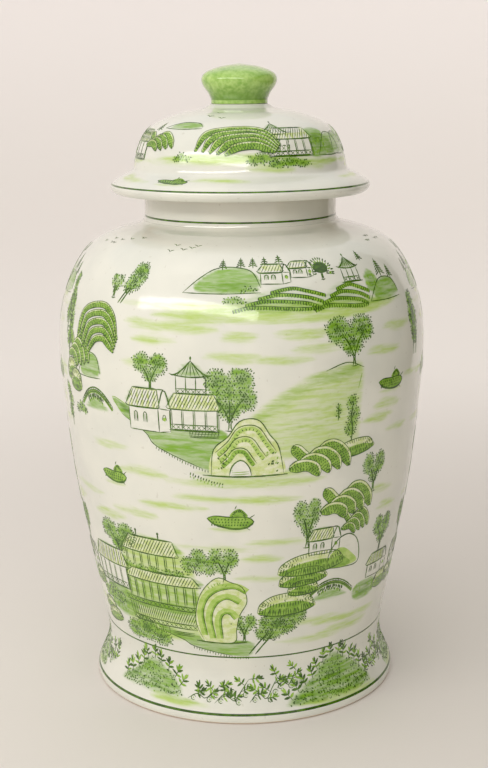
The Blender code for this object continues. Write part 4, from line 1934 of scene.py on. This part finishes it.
@dataclass
class GingerJar:
    """The jar's body, its lid and the lid's knob, with the painting on them.

    Heights and distances from the axis are metres, and each turn of the view is degrees and a scale that is
    below 0 where it is mirrored. The bands are millimetres: the height and the width of each.
    """

    foot_rest: float = 0.0011
    foot_lip: float = 0.0045
    neck_wiped: float = 0.3354
    lid_seat_height: float = 0.3372
    lid_seat: Point = (0.0575, 0.0790)
    shoulder_top: float = 0.324
    skin_step: float = 0.0008
    body_bands: tuple[Point, ...] = ((43.6, 1.1), (6.4, 1.8), (321.8, 1.3))
    lid_band: Point = (342.8, 1.3)
    lid_painted: Point = (0.3395, 0.3938)
    knob_swell: float = 0.62
    knob_lip: float = 0.0022
    turns: tuple[tuple[float, float], ...] = ((0.0, 1.0), (121.0, -0.86), (239.0, 0.86))

    def build(self, frame: dict) -> None:
        """Builds every piece.
        """
        tones = {tone: tone.value.make() for tone in Tone}
        self._body(frame, tones)
        self._lid(frame, tones)
        self._knob(frame)

    def _body(self, frame: dict, tones: dict[Tone, bpy.types.Material]) -> None:
        """Turns and paints the jar's body.

        Args:
            tones: The material of each tone.
        """
        part = TurnedPart("jar_body", "glazed_body", "jar", "body_glaze", 304, 0.0018)
        piece = part.build(frame)
        piece.data.materials.append(PorcelainGlaze("body_glaze").make())
        skin = self._outside(part.outline, self.foot_lip, self.shoulder_top)
        views = []
        for number, turn in enumerate(self.turns):
            side = PaintedZone(f"river_view_{number + 1}", "jar", "body_glaze", skin, 100 + 1000 * number)
            side.draw_round(RIVER_VIEW, (turn,))
            views.append(side)
        foot = PaintedZone("foot_painting", "jar", "body_glaze", skin, 5000)
        foot.draw_round(FOOT_VIEW, self.turns)
        for height, width in self.body_bands:
            foot.band(height, width)
        for zone in (*views, foot):
            zone.dress(piece)
            zone.pieces(tones)
        part.field("bare", lambda r, z: (z < self.foot_rest) | (z > self.neck_wiped))

    def _outside(self, outline: Outline, low: float, high: float) -> Skin:
        """The outermost side of an outline between two heights."""
        levels = np.arange(low, high, self.skin_step)
        return Skin(np.array([outline.widest(level) for level in levels]), levels)

    def _lid(self, frame: dict, tones: dict[Tone, bpy.types.Material]) -> None:
        """Turns and paints the lid.

        Args:
            tones: The material of each tone.
        """
        part = TurnedPart("lid_shell", "glazed_lid", "lid", "lid_glaze", 320, 0.0012)
        piece = part.build(frame)
        piece.data.materials.append(PorcelainGlaze("lid_glaze").make())
        skin = self._outside(part.outline, *self.lid_painted)
        view = PaintedZone("lid_painting", "lid", "lid_glaze", skin, 9000)
        view.draw_round(LID_VIEW, self.turns)
        view.band(*self.lid_band)
        view.dress(piece)
        view.pieces(tones)
        inner, outer = self.lid_seat
        part.field("bare", lambda r, z: (z < self.lid_seat_height) & (r < outer) & (r > inner))

    def _knob(self, frame: dict) -> None:
        """Turns and glazes the knob.
        """
        part = TurnedPart("lid_knob", "glazed_knob", "lid", "knob_glaze", 160, 0.0006)
        piece = part.build(frame)
        piece.data.materials.append(GreenGlaze("knob_glaze").make())
        low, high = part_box("lid_knob")
        swell = low.z + self.knob_swell * (high.z - low.z)
        thin = low.z + self.knob_lip
        part.field("pool", lambda r, z: np.clip((swell - z) / (swell - low.z), 0, 1) * (z > thin))


# ---------------------------------------------------------------- the room


@dataclass
class Studio:
    """A pale round sweep to stand the jar on, soft lights, and the camera.

    Lengths are metres, powers watts and angles degrees, and the sweep is an outline of distances from the
    axis and heights. The floor's glow stands for the light that a real room throws back at the camera. The
    paper's colour is darker on the floor than up the wall: this is painted shade and light.
    """

    # painted shade and light: the paper is darker on the floor and lighter up the wall, as the light falls on
    # them
    shaded_floor_colour: Colour = linear(229, 224, 218)
    lit_wall_colour: Colour = linear(243, 238, 235)
    sweep: tuple[Point, ...] = (
        (0.0, 0.0), (1.5, 0.0), (2.3, 0.0), (2.9, 0.1), (3.3, 0.45), (3.5, 1.0), (3.55, 2.4)
    )
    world_light: float = 0.85
    far_glow: float = 0.115
    glow_reach: Point = (0.3, 1.1)
    glow_colour: Colour = (1.0, 0.955, 0.935)
    paper_grain: Colour = (0.4, 0.39, 0.37)
    flag_dark: Colour = (0.15, 0.142, 0.105)
    flag_light: Colour = (0.19, 0.178, 0.13)
    flag_place: tuple[float, float, float] = (0.8, -0.15, 0.545)
    window_power: float = 11.6
    window_azimuth: float = -30.0
    window_elevation: float = 29.0
    window_size: Point = (2.5, 0.25)
    camera_place: tuple[float, float, float] = (0.0013, -0.9514, 0.4173)
    camera_pitch: float = -12.65
    camera_roll: float = -0.54
    lens: float = 66.1

    def build(self) -> None:
        """Builds the sweep, the lights and the camera."""
        self._floor()
        self._lights()
        self._camera()

    def _floor(self) -> None:
        """A round floor that curves up into a wall on all sides."""
        bm = bmesh.new()
        spin_round(bm, [(x, 0.0, z) for x, z in flowing(self.sweep, 0.12)], 96)
        bmesh.ops.remove_doubles(bm, verts=bm.verts, dist=1e-5)
        bmesh.ops.recalc_face_normals(bm, faces=bm.faces)
        bmesh.ops.reverse_faces(bm, faces=bm.faces)
        sweep = piece_of(bm, "studio_sweep", 80.0)
        material, graph, shader = new_material("studio_paper")
        grain = graph.noise(700.0, 2.0)
        place = graph.node("ShaderNodeTexCoord").outputs["Object"]
        split = graph.node("ShaderNodeSeparateXYZ", None, {"Vector": place})
        height = Signal(graph, split.outputs["Z"])
        # painted shade: the paper darkens from the lit wall down to the floor
        paper = graph.mix(height.between(0.02, 0.7), self.shaded_floor_colour, self.lit_wall_colour)
        paper = graph.mix(grain * 0.06, paper, self.paper_grain)
        graph.feed(shader, {"Base Color": paper, "Roughness": 0.75})
        length = graph.node("ShaderNodeVectorMath", {"operation": "LENGTH"}, {0: place})
        far = Signal(graph, length.outputs["Value"])
        glow = graph.mix(far.between(*self.glow_reach), (0.0, 0.0, 0.0), self.glow_colour)
        graph.feed(shader, {"Emission Color": glow, "Emission Strength": self.far_glow})
        sweep.data.materials.append(material)
        self._flag()

    def _flag(self) -> None:
        """A grey screen on the right, out of the picture, that keeps that side of the jar in soft shade."""
        bm = bmesh.new()
        bmesh.ops.create_grid(bm, x_segments=1, y_segments=1, size=0.5)
        bmesh.ops.scale(bm, vec=(1.1, 1.5, 1.0), verts=bm.verts)
        bmesh.ops.rotate(bm, verts=bm.verts, cent=(0, 0, 0), matrix=Matrix.Rotation(math.radians(90), 3, "Y"))
        bmesh.ops.translate(bm, vec=self.flag_place, verts=bm.verts)
        flag = piece_of(bm, "studio_flag")
        material, graph, shader = new_material("flag_cloth")
        grain = graph.noise(500.0, 2.0)
        cloth = graph.mix(grain, self.flag_dark, self.flag_light)
        graph.feed(shader, {"Base Color": cloth, "Roughness": 0.9})
        flag.data.materials.append(material)
        flag.visible_camera = False

    def _lights(self) -> None:
        """A wide window on the front left, a weak fill, and the room's own soft light."""
        world = bpy.data.worlds.new("studio_world")
        bpy.context.scene.world = world
        world.use_nodes = True
        ground = world.node_tree.nodes["Background"]
        ground.inputs["Color"].default_value = (*linear(252, 249, 246), 1.0)
        ground.inputs["Strength"].default_value = self.world_light
        window = (self.window_azimuth, self.window_elevation, 1.7)
        self._area("window", window, self.window_size, self.window_power, linear(255, 253, 250))
        self._area("ceiling", (-30.0, 74.0, 1.6), (1.2, 1.2), 2.0, linear(255, 248, 240))

    @staticmethod
    def _area(name: str, place: tuple[float, float, float], size: Point, power: float, colour: Colour) -> None:
        """Hangs a soft light that faces the jar.

        Args:
            name: The light's name.
            place: Its azimuth in degrees from the front towards +X, elevation in degrees and distance in metres.
            size: Its width and height in metres.
            power: Its power in watts.
            colour: Its colour.
        """
        data = bpy.data.lights.new(name, "AREA")
        data.shape, (data.size, data.size_y) = "RECTANGLE", size
        data.energy, data.color = power, colour
        light = bpy.data.objects.new(name, data)
        azimuth, elevation, far = place
        a, e = math.radians(azimuth), math.radians(elevation)
        way = Vector((math.sin(a) * math.cos(e), -math.cos(a) * math.cos(e), math.sin(e)))
        light.location = Vector((0.0, 0.0, 0.26)) + way * far
        light.rotation_euler = way.to_track_quat("Z", "Y").to_euler()
        light.visible_camera = False
        bpy.context.scene.collection.objects.link(light)

    def _camera(self) -> None:
        """The camera, in front of the jar and a little above its lid."""
        data = bpy.data.cameras.new("camera")
        data.lens, data.sensor_width = self.lens, 36.0
        camera = bpy.data.objects.new("camera", data)
        tilt = Matrix.Rotation(math.radians(90 + self.camera_pitch), 4, "X")
        roll = Matrix.Rotation(math.radians(self.camera_roll), 4, "Z")
        camera.matrix_world = Matrix.Translation(self.camera_place) @ tilt @ roll
        bpy.context.scene.collection.objects.link(camera)
        bpy.context.scene.camera = camera


def main() -> None:
    """Builds the jar and the room around it."""
    logging.basicConfig(level=logging.INFO, format="%(message)s")
    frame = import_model()
    bpy.context.scene.view_settings.view_transform = "Standard"
    GingerJar().build(frame)
    Studio().build()


if __name__ == "__main__":
    main()
